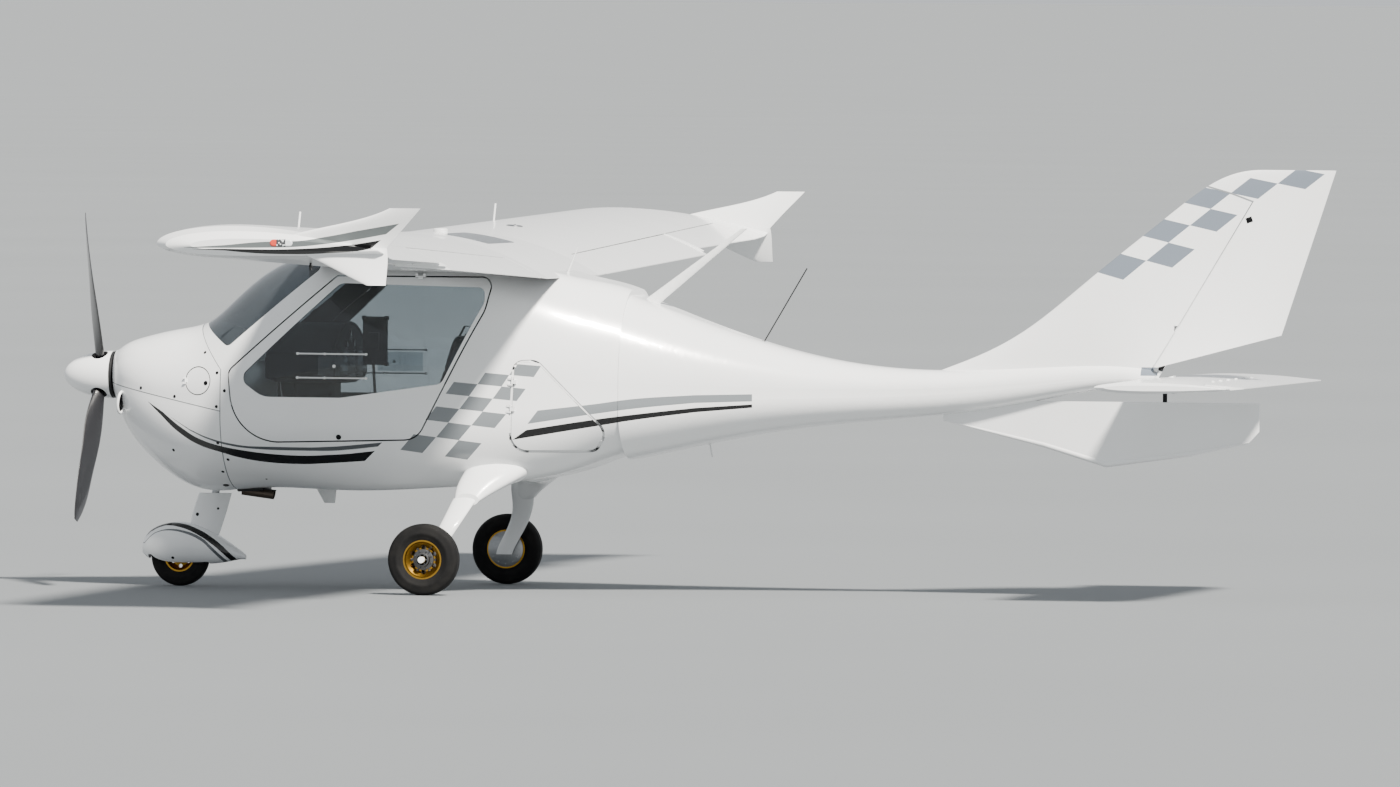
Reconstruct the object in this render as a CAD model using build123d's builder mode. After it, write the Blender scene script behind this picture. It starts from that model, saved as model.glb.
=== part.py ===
from build123d import *
from math import cos, radians, sin
import os

# A two-seat high-wing composite ultralight with a tractor propeller and a nose wheel.
# Millimetres. X forward, Y to the left wing, Z up. The origin lies on the ground, midway
# between the spinner's tip and the rudder's rear edge.
os.makedirs("parts", exist_ok=True)

# Overall places
tail_end_x = -3100
ground_gap = 5          # running gap round every moving panel
seam = 0.5              # gap between fixed panels of one body

# Walls
cabin_wall = 25
skin = 6                # cowls and window panes
tail_wall = 20

# Fuselage sections, front to back
# x, bottom, top, half width, height of the widest line, flat share of the roof, half side flat
fuselage_rows = (
    (2835, 905, 1128, 113, 1016, 0.10, 8),
    (2797, 815, 1150, 186, 1000, 0.10, 12),
    (2722, 694, 1184, 270, 968, 0.12, 18),
    (2585, 568, 1219, 364, 925, 0.15, 25),
    (2430, 482, 1248, 438, 900, 0.20, 35),
    (2335, 463, 1280, 478, 895, 0.22, 40),
    (2200, 470, 1396, 526, 895, 0.22, 50),
    (2060, 481, 1508, 563, 905, 0.26, 70),
    (1880, 482, 1590, 597, 925, 0.36, 95),
    (1560, 477, 1655, 624, 950, 0.52, 120),
    (1200, 494, 1655, 624, 955, 0.55, 120),
    (860, 520, 1590, 588, 955, 0.50, 105),
    (520, 588, 1502, 505, 955, 0.38, 75),
    (150, 664, 1372, 395, 955, 0.25, 50),
    (-330, 762, 1207, 262, 960, 0.15, 30),
    (-850, 830, 1097, 160, 965, 0.12, 20),
    (-1500, 906, 1088, 96, 1000, 0.10, 12),
    (-2330, 974, 1074, 50, 1024, 0.10, 8),
)

# Side outlines as corner points (x, z) with their radii
cowl_seam = ((2203, 300, 0), (2203, 1050, 140), (2374, 1262, 30), (2460, 1330, 0))
windshield_corners = ((2430, 1326, 0), (2340, 1266, 20), (2176, 1158, 30), (1716, 1545, 30), (1872, 1680, 0))
door_corners = ((1634, 1508, 40), (2168, 1046, 60), (2130, 700, 250), (1215, 726, 110), (900, 1345, 150),
                (872, 1508, 55))
window_corners = ((1612, 1470, 60), (2108, 1010, 45), (1985, 925, 130), (1590, 925, 200), (1100, 996, 45),
                  (908, 1385, 60), (915, 1456, 35))
door_gap = 7                                 # the slanted rear edge narrows it as the door swings
hatch_gap = 12                               # its inner rear edge swings back as it opens
hatch_corners = ((764, 1112, 55), (650, 1116, 70), (328, 775, 70), (402, 674, 60), (786, 672, 80))
cabin_corners = ((2172, 550), (2172, 1080), (2325, 1275), (2325, 1720), (305, 1720), (305, 662), (900, 625),
                 (980, 550))
cowl_split = ((2900, 988), (2150, 842))     # line between the upper and the lower cowl
bay_back = 2203                             # front face of the bulkhead
tail_joint = 280                            # bulkhead between cabin shell and tail cone
boom_hollow = (-1050, 260)                  # the tail cone is hollow between these places
lid_centre = (2325, 995)
lid_radius = 69

# Wing: y, nose x, nose z, crest x, crest z, belly z, tail x, tail z
wing_root = (560, 1842, 1598, 1330, 1712, 1532, 596, 1503)
wing_tip = (3960, 1640, 1703, 1275, 1789, 1631, 556, 1637)
flap_tail = ((596, 1503), (531, 1611))      # tail of the flap's own section at root and tip
aileron_tail = ((681, 1544), (556, 1637))
tail_thick = 4
wing_hinge_x = 730
wing_hinge_z = (1517, 1639)                 # at the root and the tip
wing_nose_radius = 83                       # round nose of flaps and ailerons
flap_plan = ((900, 718), (640, 718), (300, 800), (300, 2812), (900, 2812))
aileron_span = (2827, 3940)                 # a rib 5 wide stands between flap and aileron
wing_pin_spans = ((695, 742), (2795, 2844), (3920, 3955))
wing_pin_radius = 3
pin_clearance = 0.05
skylight_x = (950, 1200)
skylight_half = 300

# Wing tip: y, nose x, nose z, crest x, crest z, belly z, tail x, tail z
tip_rows = (
    (3960, 1640, 1703, 1275, 1789, 1631, 556, 1637),
    (4130, 1622, 1701, 1262, 1784, 1637, 545, 1650),
    (4215, 1560, 1698, 1240, 1762, 1650, 540, 1668),
    (4240, 1440, 1696, 1200, 1728, 1672, 560, 1680),
)
# Tip fins: z, nose x, tail x, thickness, y
upper_fin_rows = (
    (1690, 1120, 529, 34, 4196),
    (1770, 880, 458, 26, 4212),
    (1815, 675, 416, 20, 4226),
    (1873, 505, 362, 11, 4244),
)
lower_fin_rows = (
    (1690, 1000, 529, 34, 4196),
    (1644, 880, 523, 28, 4204),
    (1580, 742, 523, 20, 4220),
    (1521, 613, 523, 11, 4240),
)
tip_light = (1013, 4222, 1710)

# Fin with rudder: z, nose x, tail x, thickness
fin_rows = (
    (1045, -1120, -2772, 84),
    (1131, -1339, -2800, 88),
    (1274, -1610, -2847, 84),
    (1544, -1947, -2936, 70),
    (1868, -2351, -3043, 48),
    (1985, -2520, -3081, 34),
    (2041, -2790, tail_end_x, 14),
)
rudder_axis = ((-2281, 1120), (-2754, 1891))        # lower and upper point, x and z
rudder_nose = 46
rudder_foot = ((-2215, 1092), (-2860, 1264))        # lower edge of the rudder
horn_line = ((-2719, 1891), (-2601, 1934), (-2440, 1978))
horn_gap = 9
rudder_tube_radius = 10                             # the tube that the rudder turns on
rudder_tube_z = (1030, 1160)

# Ventral fin: x, bottom, half thickness at the top
ventral_rows = (
    (-1210, 838, 5),
    (-1700, 715, 24),
    (-2000, 624, 28),
    (-2400, 680, 24),
    (-2690, 745, 10),
    (-2739, 800, 6),
)
ventral_top = 936

# Stabilator: y, nose x, tail x, thickness
stabilator_rows = ((0, -2136, -2790, 62), (1155, -2162, -2790, 52), (1185, -2215, -2762, 26))
stabilator_z = 1027
pivot = (-2290, 1027)
pivot_radius = 12
pivot_clearance = 0.05
notch = (-2346, 72)                                 # rear end and half width round the tail cone
tab_x = -2672
tab_nose = 17
tab_half = 1020
tab_tail = -2850
tab_pin = 4

# Main gear leg: z, x, y, chord, width
leg_rows = (
    (602, 916, 400, 130, 74),
    (535, 940, 500, 122, 66),
    (395, 995, 700, 104, 54),
    (290, 1040, 786, 90, 40),
    (200, 1090, 803, 84, 28),
    (146, 1112, 806, 78, 26),
)
# Fairing at the leg's root: y, x, z, half length, half height
root_fairing_rows = ((400, 870, 590, 150, 80), (500, 893, 556, 124, 64), (590, 945, 492, 84, 48),
                     (640, 966, 448, 58, 30))
main_wheel = (1114, 894, 170)
main_tyre_radius = 170
main_tyre_width = 100
main_rim_radius = 93
axle_radius = 15
axle_clearance = 0.05

# Nose gear
steer_axis = ((2345, 470), (2395, 250))             # upper and lower point, x and z
nose_wheel = (2520, 140)
nose_tyre_radius = 140
nose_tyre_width = 80
nose_rim_radius = 72
nose_axle_radius = 10
strut_radius = 18
# Nose leg fairing: z, nose x, tail x, thickness
nose_leg_rows = ((448, 2430, 2270, 46), (350, 2462, 2298, 44), (240, 2482, 2334, 44))
# Wheel pant: x, bottom, top, half width
pant_rows = (
    (2705, 158, 200, 20),
    (2668, 128, 262, 54),
    (2600, 108, 296, 82),
    (2500, 104, 305, 95),
    (2400, 106, 279, 88),
    (2300, 115, 224, 62),
    (2198, 130, 153, 10),
)

# Propeller
prop_z = 1010
spinner_base = 2858
spinner_tip = 3100
spinner_radius = 114
spinner_wall = 3
blade_x = 2915
blade_angles = (25, 145, 265)                       # from straight up towards the left wing
# Blade: radius, chord, thickness, pitch angle, sweep of the middle line
blade_rows = (
    (70, 54, 44, 52, 0),
    (160, 78, 26, 42, 0),
    (330, 118, 17, 31, 6),
    (560, 112, 12, 22, 8),
    (760, 82, 8, 17, 0),
    (848, 34, 4, 15, -14),
)
shaft_radius = 22

# Cabin
floor_z = 550
seat_y = 272
seat_width = 460
panel_front = 2030
panel_back = 1690


def keep(piece, name):
    piece.part.label = name
    export_step(piece.part, f"parts/{name}.step")


def fuselage_section(bottom, top, half, widest, flat, side):
    roof = half * flat
    Line((roof, top), (-roof, top))
    EllipticalCenterArc((-roof, widest + side), half - roof, top - widest - side, 90, arc_size=90)
    Line((-half, widest + side), (-half, widest - side))
    EllipticalCenterArc((-roof, widest - side), half - roof, widest - side - bottom, 180, arc_size=90)
    Line((-roof, bottom), (roof, bottom))
    EllipticalCenterArc((roof, widest - side), half - roof, widest - side - bottom, 270, arc_size=90)
    Line((half, widest - side), (half, widest + side))
    EllipticalCenterArc((roof, widest + side), half - roof, top - widest - side, 0, arc_size=90)


def fuselage_body(rows, inset):
    with BuildPart() as body:
        for x, bottom, top, half, widest, flat, side in rows:
            with BuildSketch(Plane.YZ.offset(x)):
                with BuildLine():
                    fuselage_section(bottom + inset, top - inset, half - inset, widest, flat, side)
                make_face()
        loft()
    return body.part


def foil(nose, tail, crest, up, down, level=0.0, tail_up=0.0, blunt=tail_thick):
    # A wing section with its nose at (nose, level): quarter ellipses in front, arcs behind
    reach = nose - crest
    EllipticalCenterArc((crest, level), reach, up, 0, arc_size=90)
    TangentArc((crest, level + up), (tail, level + tail_up + blunt / 2), tangent=(-1, 0))
    Line((tail, level + tail_up + blunt / 2), (tail, level + tail_up - blunt / 2))
    TangentArc((crest, level - down), (tail, level + tail_up - blunt / 2), tangent=(-1, 0))
    EllipticalCenterArc((crest, level), reach, down, 270, arc_size=90)


def wing_body(rows, tails=None):
    with BuildPart() as body:
        for place, row in enumerate(rows):
            y, nose_x, nose_z, crest_x, crest_z, belly_z, tail_x, tail_z = row
            if tails:
                tail_x, tail_z = tails[place]
            with BuildSketch(Plane.XZ.offset(-y)):
                with BuildLine():
                    foil(nose_x, tail_x, crest_x, crest_z - nose_z, nose_z - belly_z, nose_z, tail_z - nose_z)
                make_face()
        loft(ruled=len(rows) > 2)
    return body.part


def blade_body(rows, crest_share=0.35):
    # Upright fin through level sections: z, nose x, tail x, thickness and, where given, y
    with BuildPart() as body:
        for z, nose, tail, thick, *place in rows:
            shift = place[0] if place else 0
            with BuildSketch(Plane.XY.offset(z)):
                with BuildLine():
                    crest = nose - crest_share * (nose - tail)
                    foil(nose, tail, crest, thick / 2, thick / 2, shift, 0, min(tail_thick, thick / 3))
                make_face()
        loft()
    return body.part


def side_prism(corners, y_far, y_near, grow=0.0):
    # A block over a rounded side outline, from y_near to y_far
    with BuildPart() as prism:
        with BuildSketch(Plane.XZ.offset(-y_far)):
            with BuildLine():
                radii = [r for _, _, r in corners]
                FilletPolyline(*[(x, z) for x, z, _ in corners], radius=radii, close=True)
            make_face()
            if grow:
                offset(amount=grow)
        extrude(amount=y_far - y_near)
    return prism.part


def side_block(points, y_far, y_near):
    with BuildPart() as block:
        with BuildSketch(Plane.XZ.offset(-y_far)):
            with BuildLine():
                Polyline(*points, close=True)
            make_face()
        extrude(amount=y_far - y_near)
    return block.part


def block(x_range, y_range, z_range):
    size = [high - low for low, high in (x_range, y_range, z_range)]
    middle = [(high + low) / 2 for low, high in (x_range, y_range, z_range)]
    return Pos(*middle) * Box(*size, mode=Mode.PRIVATE)


def rod(start, end, radius):
    with BuildPart() as bar:
        way = Vector(*end) - Vector(*start)
        with BuildSketch(Plane(origin=start, z_dir=way)):
            Circle(radius)
        extrude(amount=way.length)
    return bar.part


def knuckle_hinge(spot, way, out, half, radius, pin, leaf, deep):
    # A three-knuckle hinge about the line through spot; its moving leaf points along out x way
    seat = Location(Plane(origin=spot, x_dir=way, z_dir=out))
    gap = 0.5

    def bar(low, high, thick):
        return seat * Pos((low + high) / 2, 0, 0) * Rot(0, 90, 0) * Cylinder(thick, high - low)

    def plate(low, high, y_low, y_high, depth):
        size = (high - low, y_high - y_low, depth + radius / 2)
        return seat * Pos((low + high) / 2, (y_low + y_high) / 2, (radius / 2 - depth) / 2) * Box(*size)

    moving = bar(-half, half, radius) + plate(-half, half, 0, leaf, deep[0])
    moving -= bar(-half - 1, half + 1, pin + pin_clearance)
    fixed = bar(-2 * half, 2 * half, pin)
    for low, high in ((-2 * half, -half - gap), (half + gap, 2 * half)):
        fixed += bar(low, high, radius) + plate(low, high, -leaf, 0, deep[1])
    return moving, fixed


def both_sides(name, left):
    keep(left, name + "_left")
    with BuildPart() as right:
        mirror(left.part, about=Plane.XZ)
    keep(right, name + "_right")
    return right


far = 700               # beyond the widest line of the body
nose_rows = fuselage_rows[:9]           # the lofts share rows, so that they run on smoothly
cabin_rows = fuselage_rows[3:15]
tail_rows = fuselage_rows[11:]
nose_outer = fuselage_body(nose_rows, 0)
nose_inner = fuselage_body(nose_rows, skin)
cabin_outer = fuselage_body(cabin_rows, 0)
cabin_under_skin = fuselage_body(cabin_rows, skin)
cabin_inner = fuselage_body(cabin_rows, cabin_wall)
tail_outer = fuselage_body(tail_rows, 0)
tail_inner = fuselage_body(tail_rows, tail_wall)

# Hinges of the doors, hatches and oil lid: spots along the line, its direction and the way out
door_hinge = {"spots": ((1220, 545, 1505.5), (1460, 545, 1505.5)), "way": (1, 0, 0), "out": (0, 1, 0),
              "half": 12, "radius": 5, "pin": 2, "leaf": 14, "deep": (12, 25)}
hatch_hinge = {"spots": ((771.1, 576, 880), (764.6, 576, 1010)), "way": (0.05, 0, -0.99875),
               "out": (0, 1, 0), "half": 9, "radius": 4, "pin": 1.5, "leaf": 20, "deep": (14, 22)}
lid_hinge = {"spots": ((2392, 453.5, 995),), "way": (0, 0.204, -0.979), "out": (0, 0.979, 0.204),
             "half": 8, "radius": 3.2, "pin": 1.2, "leaf": 10, "deep": (5, 9)}


def hinge_set(rules):
    # The moving and the fixed halves of all hinges of one panel
    shape = [rules[word] for word in ("way", "out", "half", "radius", "pin", "leaf", "deep")]
    halves = [knuckle_hinge(spot, *shape) for spot in rules["spots"]]
    return [pair[0] for pair in halves], [pair[1] for pair in halves]


door_knuckles, door_posts = hinge_set(door_hinge)
hatch_knuckles, hatch_posts = hinge_set(hatch_hinge)
lid_knuckles, lid_posts = hinge_set(lid_hinge)

# Cabin shell with the wing's middle section as its roof
behind_seam = list(cowl_seam) + [(2460, 1900, 0), (tail_joint, 1900, 0), (tail_joint, 300, 0)]
middle_wing = wing_body([(side * wing_root[0],) + wing_root[1:] for side in (-1, 1)])
with BuildPart() as shell:
    add(cabin_outer)
    add(middle_wing)
    add(side_prism(behind_seam, far, -far), mode=Mode.INTERSECT)
with BuildPart() as cavity:
    add(cabin_inner)
    add(side_block(cabin_corners, far, -far), mode=Mode.INTERSECT)
skylight_z = wing_root[4] - 150
with BuildPart() as wall:
    add(shell.part)
    add(cavity.part, mode=Mode.SUBTRACT)
with BuildPart() as fuselage:
    add(wall.part)
    add(side_prism(windshield_corners, far, -far), mode=Mode.SUBTRACT)
    for side in (1, -1):
        low, high = sorted((side * 150, side * far))
        add(side_prism(door_corners, high, low), mode=Mode.SUBTRACT)
        add(side_prism(hatch_corners, high, low), mode=Mode.SUBTRACT)
    with BuildSketch(Plane.XY.offset(skylight_z)):
        with Locations((sum(skylight_x) / 2, 0)):
            RectangleRounded(skylight_x[1] - skylight_x[0], 2 * skylight_half, 30)
    extrude(amount=300, mode=Mode.SUBTRACT)
    for post in door_posts + hatch_posts:
        add(post)
        add(mirror(post, about=Plane.XZ))
keep(fuselage, "fuselage")

with BuildPart() as windshield:
    add(cabin_outer)
    add(cabin_under_skin, mode=Mode.SUBTRACT)
    add(side_prism(windshield_corners, far, -far, -seam), mode=Mode.INTERSECT)
keep(windshield, "windshield")

with BuildPart() as skylight:
    add(middle_wing)
    add(Pos(0, 0, -skin) * middle_wing, mode=Mode.SUBTRACT)
    with BuildSketch(Plane.XY.offset(skylight_z)):
        with Locations((sum(skylight_x) / 2, 0)):
            RectangleRounded(skylight_x[1] - skylight_x[0] - 2 * seam, 2 * (skylight_half - seam), 30)
    extrude(amount=300, mode=Mode.INTERSECT)
keep(skylight, "skylight")

# Doors, their windows and the baggage hatches
near = 150
with BuildPart() as door:
    add(wall.part)
    add(side_prism(door_corners, far, near, -door_gap), mode=Mode.INTERSECT)
    add(side_prism(window_corners, far, near), mode=Mode.SUBTRACT)
    for knuckle in door_knuckles:
        add(knuckle)
both_sides("door", door)
with BuildPart() as door_window:
    add(cabin_outer)
    add(cabin_under_skin, mode=Mode.SUBTRACT)
    add(side_prism(window_corners, far, near, -seam), mode=Mode.INTERSECT)
both_sides("door_window", door_window)
with BuildPart() as hatch:
    add(wall.part)
    add(side_prism(hatch_corners, far, near, -hatch_gap), mode=Mode.INTERSECT)
    for knuckle in hatch_knuckles:
        add(knuckle)
both_sides("baggage_hatch", hatch)

# Cowls
cowl_back = [(x + seam, z, r) for x, z, r in cowl_seam]
ahead_of_seam = cowl_back + [(2900, 1330, 0), (2900, 300, 0)]
strut_way = (steer_axis[0][0] - steer_axis[1][0], steer_axis[0][1] - steer_axis[1][1])


def on_steer_axis(z):
    share = (z - steer_axis[1][1]) / strut_way[1]
    return (steer_axis[1][0] + share * strut_way[0], 0, z)


with BuildPart() as cowl:
    add(nose_outer)
    add(nose_inner, mode=Mode.SUBTRACT)
    add(side_prism(ahead_of_seam, far, -far), mode=Mode.INTERSECT)
over_split = [cowl_split[0], cowl_split[1], (2150, 1500), (2900, 1500)]
with BuildPart() as upper_cowl:
    add(cowl.part)
    add(side_block(over_split, far, -far), mode=Mode.INTERSECT)
    with BuildSketch(Plane.XZ.offset(-far)):
        with Locations(lid_centre):
            Circle(lid_radius)
    extrude(amount=far - near, mode=Mode.SUBTRACT)
    add(lid_posts)
keep(upper_cowl, "upper_cowl")
with BuildPart() as oil_lid:
    add(cowl.part)
    with BuildSketch(Plane.XZ.offset(-far)):
        with Locations(lid_centre):
            Circle(lid_radius - ground_gap)
    extrude(amount=far - near, mode=Mode.INTERSECT)
    add(lid_knuckles)
keep(oil_lid, "oil_lid")
with BuildPart() as lower_cowl:
    add(cowl.part)
    add(side_block([(x, z - seam) for x, z in over_split], far, -far), mode=Mode.SUBTRACT)
    add(rod(on_steer_axis(440), on_steer_axis(520), strut_radius + 8), mode=Mode.SUBTRACT)
keep(lower_cowl, "lower_cowl")

# Engine with its gearbox and shaft bearing, and the nose strut's bearing on the bulkhead
engine_front = 2700
with BuildPart() as engine:
    with BuildSketch(Plane.YZ.offset(2330)):
        with Locations((0, 860)):
            RectangleRounded(460, 300, 40)
    extrude(amount=280)
    with BuildSketch(Plane.YZ.offset(2610)):
        with Locations((0, 920)):
            RectangleRounded(260, 260, 60)
    extrude(amount=engine_front - 2610)
    with BuildSketch(Plane.YZ.offset(bay_back)):
        with Locations((0, 850)):
            RectangleRounded(300, 240, 30)
    extrude(amount=2330 - bay_back)
    with BuildSketch(Plane.YZ.offset(engine_front)):
        with Locations((0, prop_z)):
            Circle(70)
    extrude(amount=125)
    with BuildSketch(Plane.YZ.offset(engine_front - 60)):
        with Locations((0, prop_z)):
            Circle(90)
    extrude(amount=60)
    with BuildSketch(Plane.YZ.offset(engine_front - 10)):
        with Locations((0, prop_z)):
            Circle(shaft_radius + axle_clearance)
    extrude(amount=200, mode=Mode.SUBTRACT)
keep(engine, "engine")

# Tail cone with the fin
axis_rise = rudder_axis[1][1] - rudder_axis[0][1]
axis_way = Vector(rudder_axis[1][0] - rudder_axis[0][0], 0, axis_rise).normalized()
axis_low = Vector(rudder_axis[0][0], 0, rudder_axis[0][1])
fin_and_rudder = blade_body(fin_rows)
foot_slope = (rudder_foot[1][1] - rudder_foot[0][1]) / (rudder_foot[1][0] - rudder_foot[0][0])


def rudder_zone(radius, grow, foot_drop):
    # Round nose about the hinge line, everything behind it, and the horn over the fin's tip
    low = axis_low - axis_way * 100
    high = Vector(horn_line[0][0], 0, horn_line[0][1])
    along = (high - low).length
    foot = [(x, z - foot_drop) for x, z in rudder_foot]
    back = (-3300, foot[1][1] + foot_slope * (-3300 - foot[1][0]))
    over = [(x, z - grow) for x, z in horn_line]
    outline = [(low.X, low.Z), (high.X, over[0][1])] + over[1:]
    outline += [(-2440, 2200), (-3300, 2200), (-3300, low.Z)]
    with BuildPart() as zone:
        add(side_block(outline, far, -far))
        with BuildSketch(Plane(origin=low, z_dir=axis_way)):
            Circle(radius)
        extrude(amount=along)
        add(side_block([foot[0], back, (-3300, 500), (foot[0][0], 500)], far, -far), mode=Mode.SUBTRACT)
        before_foot = [foot[0], (foot[0][0], 500), (-2000, 500), (-2000, foot[0][1])]
        add(side_block(before_foot, far, -far), mode=Mode.SUBTRACT)
    return zone.part


def on_rudder_axis(z):
    return axis_low + axis_way * ((z - axis_low.Z) / axis_way.Z)


with BuildPart() as rudder:
    add(fin_and_rudder)
    add(rudder_zone(rudder_nose, 0, 0), mode=Mode.INTERSECT)
    tube_ends = on_rudder_axis(rudder_tube_z[0]), on_rudder_axis(rudder_tube_z[1] + 1)
    add(rod(*tube_ends, rudder_tube_radius + pin_clearance), mode=Mode.SUBTRACT)
keep(rudder, "rudder")

with BuildPart() as fin:
    add(fin_and_rudder)
    add(side_block([(-1000, 1000), (-1000, 2200), (-3300, 2200), (-3300, 1300), (-2330, 1300), (-2330, 1000)],
                   far, -far), mode=Mode.INTERSECT)
with BuildPart() as boom_cavity:
    add(tail_inner)
    add(block(boom_hollow, (-far, far), (300, 1900)), mode=Mode.INTERSECT)
with BuildPart() as tail_cone:
    add(tail_outer)
    add(block((-2400, tail_joint - seam), (-far, far), (300, 1900)), mode=Mode.INTERSECT)
    add(boom_cavity.part, mode=Mode.SUBTRACT)
    add(fin.part)
    add(rudder_zone(rudder_nose + ground_gap, horn_gap, 60), mode=Mode.SUBTRACT)
    add(rod(on_rudder_axis(rudder_tube_z[0]), on_rudder_axis(rudder_tube_z[1]), rudder_tube_radius))
    add(rod((pivot[0], -far, pivot[1]), (pivot[0], far, pivot[1]), pivot_radius + pivot_clearance),
        mode=Mode.SUBTRACT)
keep(tail_cone, "tail_cone")

with BuildPart() as ventral_fin:
    for x, bottom, half in ventral_rows:
        with BuildSketch(Plane.YZ.offset(x)):
            with BuildLine():
                Polyline((half * 0.5, bottom + half), (half, ventral_top), (-half, ventral_top),
                         (-half * 0.5, bottom + half))
                ThreePointArc((-half * 0.5, bottom + half), (0, bottom), (half * 0.5, bottom + half))
            make_face()
    loft(ruled=True)
    add(tail_cone.part, mode=Mode.SUBTRACT)
keep(ventral_fin, "ventral_fin")

# Stabilator with its pivot shaft, and the tab on its rear edge

def tail_plane(rear=0):
    with BuildPart() as plane:
        for side in (-1, 1):
            for y, nose, tail, thick in stabilator_rows:
                with BuildSketch(Plane.XZ.offset(-side * y)):
                    with BuildLine():
                        crest = nose - 0.35 * (nose - tail)
                        foil(nose, tail - rear, crest, thick / 2, thick / 2, stabilator_z)
                    make_face()
            loft(ruled=True)
    return plane.part


def tab_zone(radius, half):
    with BuildPart() as zone:
        add(rod((tab_x, -half, stabilator_z), (tab_x, half, stabilator_z), radius))
        add(block((-3200, tab_x), (-half, half), (stabilator_z - 100, stabilator_z + 100)))
    return zone.part


with BuildPart() as stabilator:
    add(tail_plane())
    add(tab_zone(tab_nose + ground_gap, tab_half + ground_gap), mode=Mode.SUBTRACT)
    add(block((notch[0], -2000), (-notch[1], notch[1]), (stabilator_z - 100, stabilator_z + 100)),
        mode=Mode.SUBTRACT)
    add(rod((pivot[0], -notch[1] - 40, pivot[1]), (pivot[0], notch[1] + 40, pivot[1]), pivot_radius))
    for side in (-1, 1):
        pin_ends = [(tab_x, side * (tab_half + reach), stabilator_z) for reach in (-18, 20)]
        add(rod(*pin_ends, tab_pin))
keep(stabilator, "stabilator")
with BuildPart() as trim_tab:
    add(tail_plane(stabilator_rows[0][2] - tab_tail))
    add(tab_zone(tab_nose, tab_half), mode=Mode.INTERSECT)
    for side in (-1, 1):
        add(rod((tab_x, side * (tab_half - 20), stabilator_z), (tab_x, side * (tab_half + 20), stabilator_z),
                tab_pin + pin_clearance), mode=Mode.SUBTRACT)
keep(trim_tab, "trim_tab")

# Wing panels, flaps and ailerons
hinge_root = Vector(wing_hinge_x, wing_root[0], wing_hinge_z[0])
hinge_tip = Vector(wing_hinge_x, wing_tip[0], wing_hinge_z[1])
wing_rows = ((wing_root[0] + seam,) + wing_root[1:], (wing_tip[0] - seam,) + wing_tip[1:])


def hinge_zone(radius):
    with BuildPart() as zone:
        add(rod(hinge_root, hinge_tip, radius))
        add(block((300, wing_hinge_x), (wing_root[0], wing_tip[0]), (1100, 2000)))
    return zone.part


def wing_pins(radius, spare=0.0):
    # Pins on the hinge line, from the ribs into the ends of flap and aileron
    with BuildPart() as pins:
        for span in wing_pin_spans:
            shares = [(y - wing_root[0]) / (wing_tip[0] - wing_root[0]) for y in (span[0] - spare, span[1] + spare)]
            ends = [hinge_root + (hinge_tip - hinge_root) * share for share in shares]
            add(rod(*ends, radius))
    return pins.part


def plan_block(corners, grow=0.0):
    with BuildPart() as block:
        with BuildSketch(Plane.XY.offset(1000)):
            with BuildLine():
                Polyline(*corners, close=True)
            make_face()
            if grow:
                offset(amount=grow, kind=Kind.INTERSECTION)
        extrude(amount=1200)
    return block.part


aileron_plan = ((900, aileron_span[0]), (300, aileron_span[0]), (300, aileron_span[1]),
                (900, aileron_span[1]))
with BuildPart() as bay_plan:
    add(plan_block(flap_plan, ground_gap))
    add(plan_block(aileron_plan, ground_gap))
with BuildPart() as moving_bay:
    add(hinge_zone(wing_nose_radius + ground_gap))
    add(bay_plan.part, mode=Mode.INTERSECT)
with BuildPart() as wing:
    add(wing_body(wing_rows))
    add(moving_bay.part, mode=Mode.SUBTRACT)
    add(wing_pins(wing_pin_radius))
both_sides("wing", wing)
for name, tails, plan in (("flap", flap_tail, flap_plan), ("aileron", aileron_tail, aileron_plan)):
    with BuildPart() as surface:
        add(wing_body(wing_rows, tails))
        add(hinge_zone(wing_nose_radius), mode=Mode.INTERSECT)
        add(plan_block(plan), mode=Mode.INTERSECT)
        add(wing_pins(wing_pin_radius + pin_clearance, 1), mode=Mode.SUBTRACT)
    both_sides(name, surface)

# Wing tips with their fins, and the lamps
with BuildPart() as wing_tip_piece:
    add(wing_body(tip_rows))
    add(blade_body(upper_fin_rows))
    add(blade_body(lower_fin_rows))
both_sides("wing_tip", wing_tip_piece)
with BuildPart() as lamp:
    with BuildSketch(Plane.XZ.offset(-tip_light[1] - 22)):
        with Locations((tip_light[0], tip_light[2])):
            SlotOverall(108, 34)
    extrude(amount=60)
    fillet(lamp.faces().sort_by(Axis.Y)[-1].edges(), 8)
    add(wing_tip_piece.part, mode=Mode.SUBTRACT)
both_sides("tip_light", lamp)

# Main legs with the fairings at their roots
with BuildPart() as root_fairing:
    for y, x, z, long, high in root_fairing_rows:
        with BuildSketch(Plane.XZ.offset(-y)):
            with Locations((x, z)):
                Ellipse(long, high)
    loft()
with BuildPart() as leg:
    for z, x, y, chord, width in leg_rows:
        with BuildSketch(Plane.XY.offset(z)):
            with Locations((x, y)):
                Ellipse(chord / 2, width / 2)
    loft()
    add(root_fairing.part)
    add(cabin_outer, mode=Mode.SUBTRACT)
    axle_ends = [(main_wheel[0], y, main_wheel[2]) for y in (leg_rows[-1][2] - 8, main_wheel[1] + 62)]
    add(rod(*axle_ends, axle_radius))
both_sides("main_leg", leg)


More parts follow.
